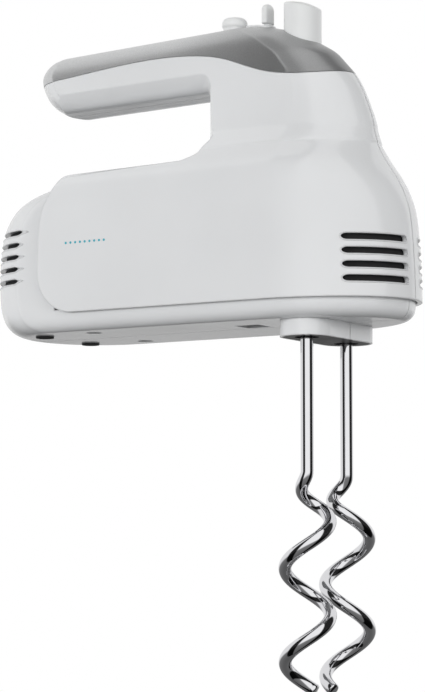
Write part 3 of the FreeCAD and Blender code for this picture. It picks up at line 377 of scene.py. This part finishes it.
# painted shade: black for the sheets behind the vent slots and the screw recesses, standing in for the shade
# inside them
PAINTED_SHADE_BLACK = MouldedPlastic(
    "painted_shade_black", (0.012, 0.012, 0.013), 0.7, grain_scale=900.0, grain_depth=0.0001
)
BLACK_PLASTIC = MouldedPlastic(
    "black_moulding", (0.022, 0.022, 0.024), 0.42, grain_scale=1500.0, grain_depth=0.00002
)
BLACK_RUBBER = MouldedPlastic(
    "black_rubber", (0.03, 0.03, 0.03), 0.68, grain_scale=1900.0, grain_depth=0.00003
)
GREY_PLASTIC = MouldedPlastic(
    "grey_glass_filled", (0.24, 0.25, 0.27), 0.5, grain_scale=1200.0, grain_depth=0.00002
)
NYLON = MouldedPlastic("gear_nylon", (0.74, 0.70, 0.56), 0.38, scatter=0.15)
TERMINAL_WHITE = MouldedPlastic("terminal_moulding", (0.7, 0.7, 0.67), 0.45)
BOARD_GREEN = MouldedPlastic(
    "board_laminate", (0.05, 0.22, 0.1), 0.35, grain_scale=700.0, grain_depth=0.00002
)
CARBON = MouldedPlastic("brush_carbon", (0.04, 0.04, 0.045), 0.6)
BROWN_PVC = MouldedPlastic("brown_insulation", (0.2, 0.08, 0.035), 0.4)
BLUE_PVC = MouldedPlastic("blue_insulation", (0.03, 0.1, 0.38), 0.4)
TEAL_PRINT = MouldedPlastic("teal_print", (0.05, 0.42, 0.52), 0.35)
FLOOR_PAINT = MouldedPlastic("pale_floor", (0.3, 0.3, 0.3), 0.8, grain_scale=400.0, grain_depth=0.0)
CHROME = BareMetal(
    "polished_chrome", (0.82, 0.82, 0.84), 0.05, lines=(1.0, 1.0, 0.05), line_depth=0.0000002, stain=0.97
)
STEEL = BareMetal("ground_steel", (0.5, 0.5, 0.51), 0.28, lines=(0.1, 1.0, 1.0))
ZINC = BareMetal("zinc_plated", (0.62, 0.62, 0.6), 0.32)
BRONZE = BareMetal("sintered_bronze", (0.5, 0.34, 0.16), 0.45, line_scale=2500.0, line_depth=0.00001)
BRASS = BareMetal("stamped_brass", (0.72, 0.52, 0.22), 0.3)
LAMINATIONS = BareMetal(
    "stacked_laminations", (0.34, 0.34, 0.35), 0.4, lines=(8.0, 0.2, 0.2), line_scale=260.0,
    line_depth=0.00008,
)
COPPER = Windings("enamelled_windings", (0.62, 0.28, 0.12), 420.0)

SLOT_FINISH = {
    "white_shell": SHELL_WHITE,
    "white_base": BASE_WHITE,
    "white_button": BUTTON_WHITE,
    "silver_cover": COVER_SILVER,
    "black_plastic": BLACK_PLASTIC,
    "black_rubber": BLACK_RUBBER,
    "zinc_screw": ZINC,
    "chrome_wire": CHROME,
    "steel": STEEL,
    "gear_plastic": NYLON,
    "bronze": BRONZE,
    "grey_plastic": GREY_PLASTIC,
    "laminations": LAMINATIONS,
    "copper": COPPER,
    "carbon": CARBON,
    "brass": BRASS,
    "board": BOARD_GREEN,
    "terminal": TERMINAL_WHITE,
    "brown_lead": BROWN_PVC,
    "blue_lead": BLUE_PVC,
}


# ---- making pieces ---------------------------------------------------------------


def new_piece(
    name: str,
    mesh: bpy.types.Mesh | bpy.types.Curve,
    finish: Material,
    body: Body,
    slot: str,
) -> bpy.types.Object:
    """Put a piece in the scene, dress it and let it ride on a body.

    Args:
        name: Name of the piece.
        mesh: Its mesh or curve, in metres, in the model's own frame.
        finish: Its material.
        body: The body it rides on.
        slot: The record's material slot the piece belongs to; not used.

    Returns:
        The new object.
    """
    piece = bpy.data.objects.new(name, mesh)
    bpy.context.scene.collection.objects.link(piece)
    mesh.materials.append(finish)
    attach(piece, body.value)
    return piece


def smooth_mesh(name: str, points: Sequence[Vector], faces: Sequence[Sequence[int]]) -> bpy.types.Mesh:
    """Make a smooth-shaded mesh with outward faces, its edges kept sharp past 40 degrees.

    Args:
        name: Name of the mesh.
        points: Vertices in metres.
        faces: Vertex numbers of each face.

    Returns:
        The mesh.
    """
    mesh = bpy.data.meshes.new(name)
    mesh.from_pydata([tuple(point) for point in points], [], [tuple(face) for face in faces])
    tool = bmesh.new()
    tool.from_mesh(mesh)
    bmesh.ops.recalc_face_normals(tool, faces=tool.faces)
    for face in tool.faces:
        face.smooth = True
    for edge in tool.edges:
        edge.smooth = len(edge.link_faces) == 2 and edge.calc_face_angle(0.0) < math.radians(40)
    tool.to_mesh(mesh)
    tool.free()
    return mesh


def turned(
    profile: Sequence[tuple[float, float]], centre: tuple[float, float], sides: int = 96
) -> Skin:
    """Turn a profile about a vertical axis.

    Args:
        profile: Radius and height of each point in mm; a closed outline, or one that ends on the axis.
        centre: The axis's X and Y in mm.
        sides: Facets round the axis.

    Returns:
        Vertices in metres and faces.
    """
    points, rows = [], []
    for radius, height in profile:
        if radius < ON_AXIS:
            rows.append([len(points)] * sides)
            points.append(Vector((centre[0], centre[1], height)) * MM)
            continue
        rows.append(list(range(len(points), len(points) + sides)))
        for k in range(sides):
            angle = 2 * math.pi * k / sides
            x, y = centre[0] + radius * math.cos(angle), centre[1] + radius * math.sin(angle)
            points.append(Vector((x, y, height)) * MM)
    faces = []
    for low, high in zip(rows, rows[1:]):
        for k in range(sides):
            corners = [low[k], low[(k + 1) % sides], high[(k + 1) % sides], high[k]]
            unique = list(dict.fromkeys(corners))
            if len(unique) > 2:
                faces.append(unique)
    return points, faces


def swept(path: Sequence[Vector], radii: Sequence[float], sides: int = 32) -> Skin:
    """Sweep a circle along a path without twisting it, and close both ends.

    Args:
        path: Points of the centre line in mm.
        radii: The circle's radius at each point in mm.
        sides: Facets round the path.

    Returns:
        Vertices in metres and faces.
    """
    points: list[Vector] = []
    faces: list[list[int]] = []
    side = None
    for i, here in enumerate(path):
        tangent = (path[min(i + 1, len(path) - 1)] - path[max(i - 1, 0)]).normalized()
        if side is None:
            side = tangent.cross(Vector((0.0, 1.0, 0.01))).normalized()
        side = (side - tangent * side.dot(tangent)).normalized()
        other = tangent.cross(side)
        for k in range(sides):
            angle = 2 * math.pi * k / sides
            points.append((here + (side * math.cos(angle) + other * math.sin(angle)) * radii[i]) * MM)
    for i in range(len(path) - 1):
        for k in range(sides):
            a, b = i * sides + k, i * sides + (k + 1) % sides
            faces.append([a, b, b + sides, a + sides])
    faces.append(list(range(sides)))
    faces.append(list(range(len(points) - sides, len(points))))
    return points, faces


def rounded(
    corners: Sequence[tuple[float, float]], radius: float, steps: int = 6
) -> list[tuple[float, float]]:
    """Round the corners of a profile, its two ends apart.

    Args:
        corners: Radius and height of each corner in mm.
        radius: How far from each corner the rounding starts.
        steps: Pieces in each rounding.

    Returns:
        The profile's points.
    """
    out = [corners[0]]
    for before, here, after in zip(corners, corners[1:], corners[2:]):
        a, b, c = Vector(before), Vector(here), Vector(after)
        reach = min(radius, (a - b).length * 0.45, (c - b).length * 0.45)
        start, end = b + (a - b).normalized() * reach, b + (c - b).normalized() * reach
        for i in range(steps + 1):
            t = i / steps
            point = start * (1 - t) ** 2 + b * 2 * t * (1 - t) + end * t ** 2
            out.append((point.x, point.y))
    out.append(corners[-1])
    return out


def surface_tree(*nodes: str) -> BVHTree:
    """Gather CAD nodes into one tree that rays can be cast on, in metres.

    Args:
        nodes: Names of the nodes.

    Returns:
        The tree.
    """
    points: list[Vector] = []
    faces: list[tuple[int, ...]] = []
    for node in nodes:
        mesh = frame["nodes"][node].data
        start = len(points)
        points += [vertex.co.copy() for vertex in mesh.vertices]
        faces += [tuple(start + i for i in polygon.vertices) for polygon in mesh.polygons]
    return BVHTree.FromPolygons(points, faces)


# ---- sub-assemblies ---------------------------------------------------------------


@dataclass
class BeaterPair:
    """The two bent-wire beaters: a straight shaft that widens into a spiral."""

    spacing: float = 38.0
    wire_radius: float = 3.0
    top: float = 62.0
    spiral_top: float = -62.0
    tip: float = -163.0
    spiral_radius: float = 10.4
    pitch: float = 43.0
    phase: float = 31.5
    phase_height: float = -85.0
    blend: float = 18.0
    tip_rounding: float = 0.9
    step: float = 0.7
    finish: BareMetal = CHROME

    def centre(self, z: float, side: Side) -> Vector:
        """Find the wire's centre line.

        Args:
            z: Height in mm.
            side: Which beater.

        Returns:
            The point in mm.
        """
        share = min(1.0, max(0.0, (self.spiral_top - z) / self.blend))
        radius = self.spiral_radius * share * share * (3 - 2 * share)
        angle = math.radians(self.phase + (z - self.phase_height) * 360 / self.pitch)
        y = radius * math.sin(angle) - self.spacing / 2
        return Vector((radius * math.cos(angle), -y * side.value, z))

    def wire(self, side: Side) -> tuple[list[Vector], list[float]]:
        """List the wire's centre line and radius from top to tip.

        Args:
            side: Which beater.

        Returns:
            Points and radii in mm.
        """
        heights = [self.top, self.top - 0.5, self.top - 1.2, 40.0, 10.0, -10.0, -35.0, self.spiral_top + 4]
        count = int((self.spiral_top - self.tip) / self.step)
        heights += [self.spiral_top + (self.tip - self.spiral_top) * i / count for i in range(count + 1)]
        path = [self.centre(z, side) for z in heights]
        radii = [self.wire_radius] * len(path)
        radii[0], radii[1] = self.wire_radius - 1.2, self.wire_radius - 0.5
        last = path[-1]
        along = (last - path[-2]).normalized()
        for share in (0.25, 0.5, 0.75, 1.0):
            inward = self.tip_rounding * (1 - math.sqrt(1 - share * share))
            path.append(last + along * self.tip_rounding * share)
            radii.append(self.wire_radius - inward)
        lift = along * self.tip_rounding
        start = len(heights) - 2
        for i in range(start, len(path)):
            path[i] = path[i] - lift
        return path, radii

    def build(self) -> Pieces:
        """Make both beaters.

        Returns:
            The right and the left beater.
        """
        finish = self.finish.build()
        for side, body, node in (
            (Side.RIGHT, Body.BEATER_RIGHT, "beater_right"),
            (Side.LEFT, Body.BEATER_LEFT, "beater_left"),
        ):
            mesh = smooth_mesh(node + "_wire", *swept(*self.wire(side), sides=40))
            piece = new_piece(node + "_wire", mesh, finish, body, "chrome_wire")
            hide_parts(node)
            yield piece


@dataclass
class VentRims:
    """Softly rounded beads round the ventilation slots, laid on the shell."""

    nodes: tuple[str, ...]
    heights: tuple[float, ...]
    span: tuple[float, float]
    slot_radius: float
    from_front: bool
    name: str
    bead: float = 0.42
    sink: float = 0.14
    grow: float = 0.25
    slot: str = "white_shell"

    def outline(self, height: float, grow: float) -> list[tuple[float, float]]:
        """List points round one slot.

        Args:
            height: The slot's middle height in mm.
            grow: How far outside its edge the points lie, in mm.

        Returns:
            Y and Z of each point in mm, on the right-hand side.
        """
        near, far = self.span
        radius = self.slot_radius + grow
        low, high = -far + self.slot_radius, -near - self.slot_radius
        points = [(low + (high - low) * i / 24, height - radius) for i in range(25)]
        turns = [math.pi * i / 12 for i in range(1, 12)]
        points += [(high + radius * math.sin(a), height - radius * math.cos(a)) for a in turns]
        points += [(high + (low - high) * i / 24, height + radius) for i in range(25)]
        points += [(low - radius * math.sin(a), height + radius * math.cos(a)) for a in turns]
        return points

    def build(self, finish: Material) -> Pieces:
        """Make one mesh of beads for each side.

        Args:
            finish: Material of the shell they lie on.

        Returns:
            The beads of each side.
        """
        tree = surface_tree(*self.nodes)
        start_x, way = (RAY_FRONT_X, -1.0) if self.from_front else (RAY_REAR_X, 1.0)
        for side in Side:
            points: list[Vector] = []
            faces: list[list[int]] = []
            for height in self.heights:
                loop = []
                for y, z in self.outline(height, self.grow):
                    origin = Vector((start_x, -side.value * y * MM, z * MM))
                    hit, normal, _, _ = tree.ray_cast(origin, Vector((way, 0.0, 0.0)))
                    if hit is None:
                        break
                    loop.append(hit / MM - normal * self.sink)
                else:
                    ring_points, ring_faces = closed_bead(loop, self.bead)
                    shift = len(points)
                    points += ring_points
                    faces += [[shift + i for i in face] for face in ring_faces]
            if points:
                name = f"{self.name}_{side.name.lower()}"
                yield new_piece(name, smooth_mesh(name, points, faces), finish, Body.HOUSING, self.slot)


def closed_bead(loop: Sequence[Vector], radius: float, sides: int = 10) -> Skin:
    """Sweep a round bead along a closed loop.

    Args:
        loop: Points of the centre line in mm.
        radius: The bead's radius in mm.
        sides: Facets round the bead.

    Returns:
        Vertices in metres and faces.
    """
    count = len(loop)
    points: list[Vector] = []
    middle = sum(loop, Vector()) / count
    axis = Vector()
    for i in range(count):
        axis += (loop[i] - middle).cross(loop[(i + 1) % count] - middle)
    axis.normalize()
    for i, here in enumerate(loop):
        tangent = (loop[(i + 1) % count] - loop[i - 1]).normalized()
        side = tangent.cross(axis).normalized()
        other = tangent.cross(side)
        for k in range(sides):
            angle = 2 * math.pi * k / sides
            points.append((here + (side * math.cos(angle) + other * math.sin(angle)) * radius) * MM)
    faces = []
    for i in range(count):
        for k in range(sides):
            a, b = i * sides + k, i * sides + (k + 1) % sides
            c, d = ((i + 1) % count) * sides + (k + 1) % sides, ((i + 1) % count) * sides + k
            faces.append([a, b, c, d])
    return points, faces


@dataclass
class VentShadeSheet:
    """A black sheet just inside the ventilation slots, as painted shade inside them."""

    nodes: tuple[str, ...]
    bars: tuple[float, ...]
    span: tuple[float, float]
    from_front: bool
    name: str
    depth: float = 2.8
    columns: int = 28

    def build(self, finish: Material) -> Pieces:
        """Make one curved sheet behind each side's slots.

        Args:
            finish: Material of the sheet, black as painted shade.

        Returns:
            The sheet of each side.
        """
        tree = surface_tree(*self.nodes)
        start_x, way = (RAY_FRONT_X, -1.0) if self.from_front else (RAY_REAR_X, 1.0)
        near, far = self.span
        for side in Side:
            points: list[Vector] = []
            for z in self.bars:
                for i in range(self.columns):
                    y = side.value * (near + (far - near) * i / (self.columns - 1))
                    start = Vector((start_x, y * MM, z * MM))
                    hit, normal, _, _ = tree.ray_cast(start, Vector((way, 0.0, 0.0)))
                    if hit is None:
                        hit, normal, _, _ = tree.find_nearest(start)
                    points.append(hit - normal * self.depth * MM)
            faces = []
            for row in range(len(self.bars) - 1):
                for i in range(self.columns - 1):
                    a = row * self.columns + i
                    faces.append([a, a + 1, a + self.columns + 1, a + self.columns])
            name = f"{self.name}_{side.name.lower()}"
            yield new_piece(name, smooth_mesh(name, points, faces), finish, Body.HOUSING, "black_plastic")


def stacked(
    sections: Sequence[tuple[float, float, float]],
    centre: tuple[float, float],
    power: float = 4.0,
    sides: int = 64,
) -> Skin:
    """Join level rounded-rectangle sections into a closed skin.

    Args:
        sections: Height, half length along X and half width along Y of each, in mm.
        centre: X and Y of the middle in mm.
        power: How square the outline is; 2 is an ellipse.
        sides: Points round each section.

    Returns:
        Vertices in metres and faces.
    """
    points: list[Vector] = []
    for z, half_x, half_y in sections:
        for k in range(sides):
            angle = 2 * math.pi * k / sides
            c, d = math.cos(angle), math.sin(angle)
            x = half_x * math.copysign(abs(c) ** (2 / power), c)
            y = half_y * math.copysign(abs(d) ** (2 / power), d)
            points.append(Vector((centre[0] + x, centre[1] + y, z)) * MM)
    faces = []
    for row in range(len(sections) - 1):
        for k in range(sides):
            a, b = row * sides + k, row * sides + (k + 1) % sides
            faces.append([a, b, b + sides, a + sides])
    faces.append(list(range(sides)))
    faces.append(list(range(len(points) - sides, len(points))))
    return points, faces


@dataclass
class Controls:
    """The speed slider's rounded fin and the turbo button's cap."""

    slider_x: float = -31.6
    slider_top: float = 163.8
    slider_surface: float = 154.4
    slider_foot: float = 139.5
    fin_half_x: float = 1.75
    fin_half_y: float = 4.0
    crown: float = 3.0
    neck_half: tuple[float, float] = (1.6, 1.8)
    foot_half: tuple[float, float] = (6.0, 5.0)
    foot_height: float = 3.0
    turbo_x: float = -50.2
    turbo_radius: float = 6.2
    turbo_top: float = 159.6
    flange: tuple[float, float] = (147.2, 149.2)

    def slider(self) -> list[tuple[float, float, float]]:
        """List the slider's sections from its foot to the top of its fin.

        Returns:
            Height, half length and half width of each in mm.
        """
        low, surface, top = self.slider_foot, self.slider_surface, self.slider_top
        sections = [(z, *self.foot_half) for z in (low, low + self.foot_height)]
        sections += [(z, *self.neck_half) for z in (low + self.foot_height, surface)]
        sections.append((surface, self.fin_half_x, self.fin_half_y))
        for i in range(10):
            angle = math.pi / 2 * i / 9
            z = top - self.crown + self.crown * math.sin(angle)
            half_x = self.fin_half_x * (0.45 + 0.55 * math.cos(angle))
            share = 0.25 + 0.75 * math.cos(angle)
            sections.append((z, half_x, self.fin_half_y * share))
        return sections

    def turbo(self) -> list[tuple[float, float]]:
        """List the turbo button's profile from its flange to its crown.

        Returns:
            Radius and height of each point in mm.
        """
        low, high = self.flange
        r, top = self.turbo_radius, self.turbo_top
        corners = [(0.0, low), (r + 1.4, low), (r + 1.4, high), (r - 0.7, high), (r - 0.7, top - 5.4)]
        corners += [(r, top - 4.6), (r, top - 2.4), (r - 1.2, top - 0.7), (0.0, top)]
        return rounded(corners, 1.2)

    def build(self, finish: Material) -> Pieces:
        """Make both controls.

        Args:
            finish: Material of the buttons.

        Returns:
            The slider and the button.
        """
        slider = smooth_mesh("speed_slider_fin", *stacked(self.slider(), (self.slider_x, 0.0)))
        piece = new_piece("speed_slider_fin", slider, finish, Body.SLIDER, "white_button")
        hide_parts("speed_slider")
        yield piece
        turbo = smooth_mesh("turbo_cap", *turned(self.turbo(), (self.turbo_x, 0.0)))
        piece = new_piece("turbo_cap", turbo, finish, Body.TURBO, "white_button")
        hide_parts("turbo_button")
        yield piece


@dataclass
class Underside:
    """Cross recesses of the two base screws, drawn as thin black crosses of painted shade, and the soft rims
    of the feet.
    """

    screw: tuple[float, float] = (-116.0, 23.0)
    head_bottom: float = 15.8
    recess: float = 1.9
    blade: float = 0.45
    foot: tuple[float, float] = (-147.0, 20.0)
    foot_radius: float = 4.5
    foot_bottom: float = 7.0
    foot_seat: float = 9.2

    def cross(self, centre: tuple[float, float]) -> Skin:
        """Make a thin cross under a screw's head, black as painted shade in its recess.

        Args:
            centre: X and Y of the screw in mm.

        Returns:
            Vertices in metres and faces.
        """
        r, b = self.recess, self.blade
        outline = [(r, -b), (r, b), (b, b), (b, r), (-b, r), (-b, b)]
        outline += [(-x, -y) for x, y in outline]
        points = []
        for z in (self.head_bottom - 0.05, self.head_bottom + 0.3):
            points += [Vector((centre[0] + x, centre[1] + y, z)) * MM for x, y in outline]
        count = len(outline)
        faces = [[k, (k + 1) % count, count + (k + 1) % count, count + k] for k in range(count)]
        faces += [list(range(count)), list(range(count, 2 * count))]
        return points, faces

    def pad(self) -> list[tuple[float, float]]:
        """List a foot's profile: dished underneath, with a rounded rim.

        Returns:
            Radius and height of each point in mm.
        """
        r, low = self.foot_radius, self.foot_bottom
        corners = [(0.0, low + 0.35), (r - 1.6, low + 0.35), (r - 1.2, low), (r, low)]
        corners += [(r, self.foot_seat), (0.0, self.foot_seat)]
        return rounded(corners, 0.45)

    def build(self, dark: Material, rubber: Material) -> Pieces:
        """Make the recesses and the feet.

        Args:
            dark: Black material inside the recesses, as painted shade.
            rubber: Material of the feet.

        Returns:
            Both recesses, then the feet.
        """
        points: list[Vector] = []
        faces: list[list[int]] = []
        for side in Side:
            more_points, more_faces = turned(self.pad(), (self.foot[0], side.value * self.foot[1]), 72)
            faces += [[len(points) + i for i in face] for face in more_faces]
            points += more_points
            name = f"screw_recess_{side.name.lower()}"
            mesh = smooth_mesh(name, *self.cross((self.screw[0], side.value * self.screw[1])))
            yield new_piece(name, mesh, dark, Body.HOUSING, "black_plastic")
        pads = smooth_mesh("rear_feet_pads", points, faces)
        feet = new_piece("rear_feet_pads", pads, rubber, Body.HOUSING, "black_rubber")
        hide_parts("rear_feet")
        yield feet


@dataclass
class DottedRule:
    """A plain row of small printed dots on the right-hand panel."""

    start: float = -120.5
    end: float = -98.5
    height: float = 50.0
    dots: int = 9
    radius: float = 0.62
    thickness: float = 0.05
    sunk: float = 0.1
    sides: int = 20

    def build(self, finish: Material) -> Pieces:
        """Make the dots as one mesh laid on the panel.

        Args:
            finish: Material of the print.

        Returns:
            The row of dots.
        """
        tree = surface_tree("upper_shell_right")
        sides = self.sides
        points: list[Vector] = []
        faces: list[list[int]] = []
        for i in range(self.dots):
            x = self.start + (self.end - self.start) * i / (self.dots - 1)
            start = Vector((x * MM, RAY_RIGHT_Y, self.height * MM))
            hit, normal, _, _ = tree.ray_cast(start, Vector((0.0, 1.0, 0.0)))
            across = normal.cross(Vector((0.0, 0.0, 1.0))).normalized()
            up = across.cross(normal)
            first = len(points)
            for lift in (-self.sunk, self.thickness):
                for k in range(sides):
                    angle = 2 * math.pi * k / sides
                    reach = (across * math.cos(angle) + up * math.sin(angle)) * self.radius * MM
                    points.append(hit + normal * lift * MM + reach)
            lower = [first + k for k in range(sides)]
            upper = [first + sides + k for k in range(sides)]
            for k in range(sides):
                faces.append([lower[k], lower[(k + 1) % sides], upper[(k + 1) % sides], upper[k]])
            faces += [lower, upper]
        mesh = smooth_mesh("teal_dotted_rule", points, faces)
        yield new_piece("teal_dotted_rule", mesh, finish, Body.HOUSING, "white_shell")


# ---- studio -------------------------------------------------------------------------


@dataclass(frozen=True)
class SoftLight:
    """One soft rectangular light, in metres and watts."""

    name: str
    place: Point
    towards: Point
    size: tuple[float, float]
    power: float

    def build(self) -> bpy.types.Object:
        """Make the light; polished surfaces don't show it.

        Returns:
            The light.
        """
        data = bpy.data.lights.new(self.name, "AREA")
        data.shape = "RECTANGLE"
        data.size, data.size_y = self.size
        data.energy = self.power
        lamp = bpy.data.objects.new(self.name, data)
        bpy.context.scene.collection.objects.link(lamp)
        lamp.location = self.place
        lamp.visible_glossy = False
        lamp.rotation_mode = "QUATERNION"
        facing = Vector(self.towards) - Vector(self.place)
        lamp.rotation_quaternion = facing.to_track_quat("-Z", "Y")
        return lamp


@dataclass
class Studio:
    """Camera, soft lights, plain floor and white surroundings."""

    azimuth: float = 31.5
    elevation: float = -5.6
    distance: float = 1.262
    focal_share: float = 2726.0 / 692.0
    sensor: float = 36.0
    aim: Point = (-0.0374, -0.0415, -0.0041)
    floor_height: float = -0.24
    floor_half: float = 1.6
    room_strength: float = 1.0
    gloss_strength: float = 1.0
    lights: tuple[SoftLight, ...] = (
        SoftLight("key_light", (-0.7, -1.4, 0.22), (-0.06, 0.0, 0.08), (1.1, 0.7), 9.0),
        SoftLight("nose_light", (1.5, -0.5, 0.2), (0.0, 0.0, 0.08), (0.5, 0.7), 6.5),
        SoftLight("back_light", (-0.4, 1.4, 0.5), (-0.05, 0.0, 0.05), (1.2, 0.8), 3.0),
    )
    height_stops: Stops = (
        (0.0, 0.03), (0.44, 0.05), (0.5, 1.1), (0.6, 1.2), (0.72, 0.6), (1.0, 0.12),
    )
    gloss_stops: Stops = ((0.0, 0.12), (0.36, 0.22), (0.48, 1.0), (1.0, 1.0))
    screen_stops: Stops = (
        (0.0, 0.85), (0.105, 0.85), (0.125, 0.02), (0.225, 0.02), (0.245, 1.0), (0.465, 1.0), (0.485, 0.02),
        (0.635, 0.02), (0.655, 0.85), (1.0, 0.85),
    )

    def camera(self) -> bpy.types.Object:
        """Make the camera and use it for the scene.

        Returns:
            The camera.
        """
        a, e = math.radians(self.azimuth), math.radians(self.elevation)
        back = Vector((math.sin(a) * math.cos(e), -math.cos(a) * math.cos(e), math.sin(e)))
        data = bpy.data.cameras.new("studio_camera")
        data.sensor_width = self.sensor
        data.lens = self.sensor * self.focal_share
        camera = bpy.data.objects.new("studio_camera", data)
        bpy.context.scene.collection.objects.link(camera)
        camera.location = Vector(self.aim) + back * self.distance
        camera.rotation_mode = "QUATERNION"
        camera.rotation_quaternion = (-back).to_track_quat("-Z", "Y")
        bpy.context.scene.camera = camera
        return camera

    def floor(self) -> bpy.types.Object:
        """Make the plain floor.

        Returns:
            The floor.
        """
        half = self.floor_half
        mesh = bpy.data.meshes.new("floor")
        corners = [(-half, -half), (half, -half), (half, half), (-half, half)]
        mesh.from_pydata([(x, y, self.floor_height) for x, y in corners], [], [(0, 1, 2, 3)])
        floor = bpy.data.objects.new("floor", mesh)
        bpy.context.scene.collection.objects.link(floor)
        mesh.materials.append(FLOOR_PAINT.build())
        floor.visible_glossy = False
        return floor

    def surroundings(self) -> None:
        """Light everything softly from a bright room; polished surfaces show dark screens in it."""
        world = bpy.data.worlds.new("white_room")
        bpy.context.scene.world = world
        world.use_nodes = True
        tree = world.node_tree
        where = tree.nodes.new("ShaderNodeTexCoord")
        split = tree.nodes.new("ShaderNodeSeparateXYZ")
        tree.links.new(where.outputs["Generated"], split.inputs["Vector"])
        heading = tree.nodes.new("ShaderNodeMath")
        heading.operation = "ARCTAN2"
        tree.links.new(split.outputs["Y"], heading.inputs[0])
        tree.links.new(split.outputs["X"], heading.inputs[1])
        screens = self.graded(tree, heading.outputs[0], (-math.pi, math.pi), self.screen_stops)
        height = self.graded(tree, split.outputs["Z"], (-1.0, 1.0), self.height_stops)
        sinking = self.graded(tree, split.outputs["Z"], (-1.0, 1.0), self.gloss_stops)
        shaded = tree.nodes.new("ShaderNodeVectorMath")
        shaded.operation = "MULTIPLY"
        tree.links.new(screens, shaded.inputs[0])
        tree.links.new(sinking, shaded.inputs[1])
        rooms = ((shaded.outputs["Vector"], self.gloss_strength), (height, self.room_strength), (None, 1.0))
        lights = []
        for colour, strength in rooms:
            background = tree.nodes.new("ShaderNodeBackground")
            background.inputs["Strength"].default_value = strength
            if colour is None:
                background.inputs["Color"].default_value = (1.0, 1.0, 1.0, 1.0)
            else:
                tree.links.new(colour, background.inputs["Color"])
            lights.append(background.outputs["Background"])
        path = tree.nodes.new("ShaderNodeLightPath")
        glossy = tree.nodes.new("ShaderNodeMixShader")
        seen = tree.nodes.new("ShaderNodeMixShader")
        tree.links.new(path.outputs["Is Glossy Ray"], glossy.inputs["Fac"])
        tree.links.new(lights[1], glossy.inputs[1])
        tree.links.new(lights[0], glossy.inputs[2])
        tree.links.new(path.outputs["Is Camera Ray"], seen.inputs["Fac"])
        tree.links.new(glossy.outputs["Shader"], seen.inputs[1])
        tree.links.new(lights[2], seen.inputs[2])
        tree.links.new(seen.outputs["Shader"], tree.nodes["World Output"].inputs["Surface"])

    def graded(
        self,
        tree: bpy.types.NodeTree,
        value: Socket,
        span: tuple[float, float],
        stops: Stops,
    ) -> Socket:
        """Map a value to greys.

        Args:
            tree: The world's node tree.
            value: The value to map.
            span: Its lowest and highest value.
            stops: Position from 0 to 1 and grey of each stop.

        Returns:
            The colour output.
        """
        scaled = tree.nodes.new("ShaderNodeMapRange")
        scaled.inputs["From Min"].default_value, scaled.inputs["From Max"].default_value = span
        ramp = tree.nodes.new("ShaderNodeValToRGB")
        elements = ramp.color_ramp.elements
        while len(elements) < len(stops):
            elements.new(0.5)
        for element, (position, grey) in zip(elements, stops):
            element.position = position
            element.color = (grey, grey, grey, 1.0)
        tree.links.new(value, scaled.inputs["Value"])
        tree.links.new(scaled.outputs["Result"], ramp.inputs["Fac"])
        return ramp.outputs["Color"]

    def build(self) -> None:
        """Set up the studio."""
        bpy.context.scene.view_settings.view_transform = "Standard"
        self.camera()
        self.floor()
        self.surroundings()
        for light in self.lights:
            light.build()


def dress(node_materials: dict[str, str]) -> int:
    """Give every CAD node its finish.

    Args:
        node_materials: The record's material slot of each node.

    Returns:
        How many nodes were dressed.
    """
    built: dict[str, bpy.types.Material] = {}
    for node, slot in node_materials.items():
        if slot not in built:
            built[slot] = SLOT_FINISH[slot].build()
        mesh = frame["nodes"][node].data
        mesh.materials.clear()
        mesh.materials.append(built[slot])
    return len(node_materials)


def report(piece: bpy.types.Object) -> None:
    """Log a piece's name and size.

    Args:
        piece: The piece.
    """
    size = ", ".join(f"{value / MM:.1f}" for value in piece.dimensions)
    LOG.info("%s: %s mm", piece.name, size)


def main() -> None:
    """Dress the CAD nodes, add the detailed pieces and set up the studio."""
    logging.basicConfig(level=logging.INFO, format="%(name)s: %(message)s")
    slots = {part["node"]: part["material_slot"] for part in frame["record"]["subparts"]}
    LOG.info("dressed %d nodes", dress(slots))
    shell = SHELL_WHITE.build()
    base = BASE_WHITE.build()
    front = VentRims(SHELLS, FRONT_SLOTS, FRONT_SPAN, FRONT_SLOT_R, True, "front_vent_rims")
    rear = VentRims(BASES, REAR_SLOTS, REAR_SPAN, REAR_SLOT_R, False, "rear_vent_rims", slot="white_base")
    # black sheets behind the vent slots, as painted shade in the slots
    front_shade_sheet = VentShadeSheet(SHELLS, FRONT_BARS, FRONT_SHEET_SPAN, True, "front_vent_shade_sheet")
    rear_shade_sheet = VentShadeSheet(BASES, REAR_BARS, REAR_SHEET_SPAN, False, "rear_vent_shade_sheet")
    black = PAINTED_SHADE_BLACK.build()
    made = [
        *BeaterPair().build(),
        *front.build(shell),
        *rear.build(base),
        *front_shade_sheet.build(black),
        *rear_shade_sheet.build(black),
        *Controls().build(BUTTON_WHITE.build()),
        *Underside().build(black, BLACK_RUBBER.build()),
        *DottedRule().build(TEAL_PRINT.build()),
    ]
    for piece in made:
        report(piece)
    Studio().build()


if __name__ == "__main__":
    main()
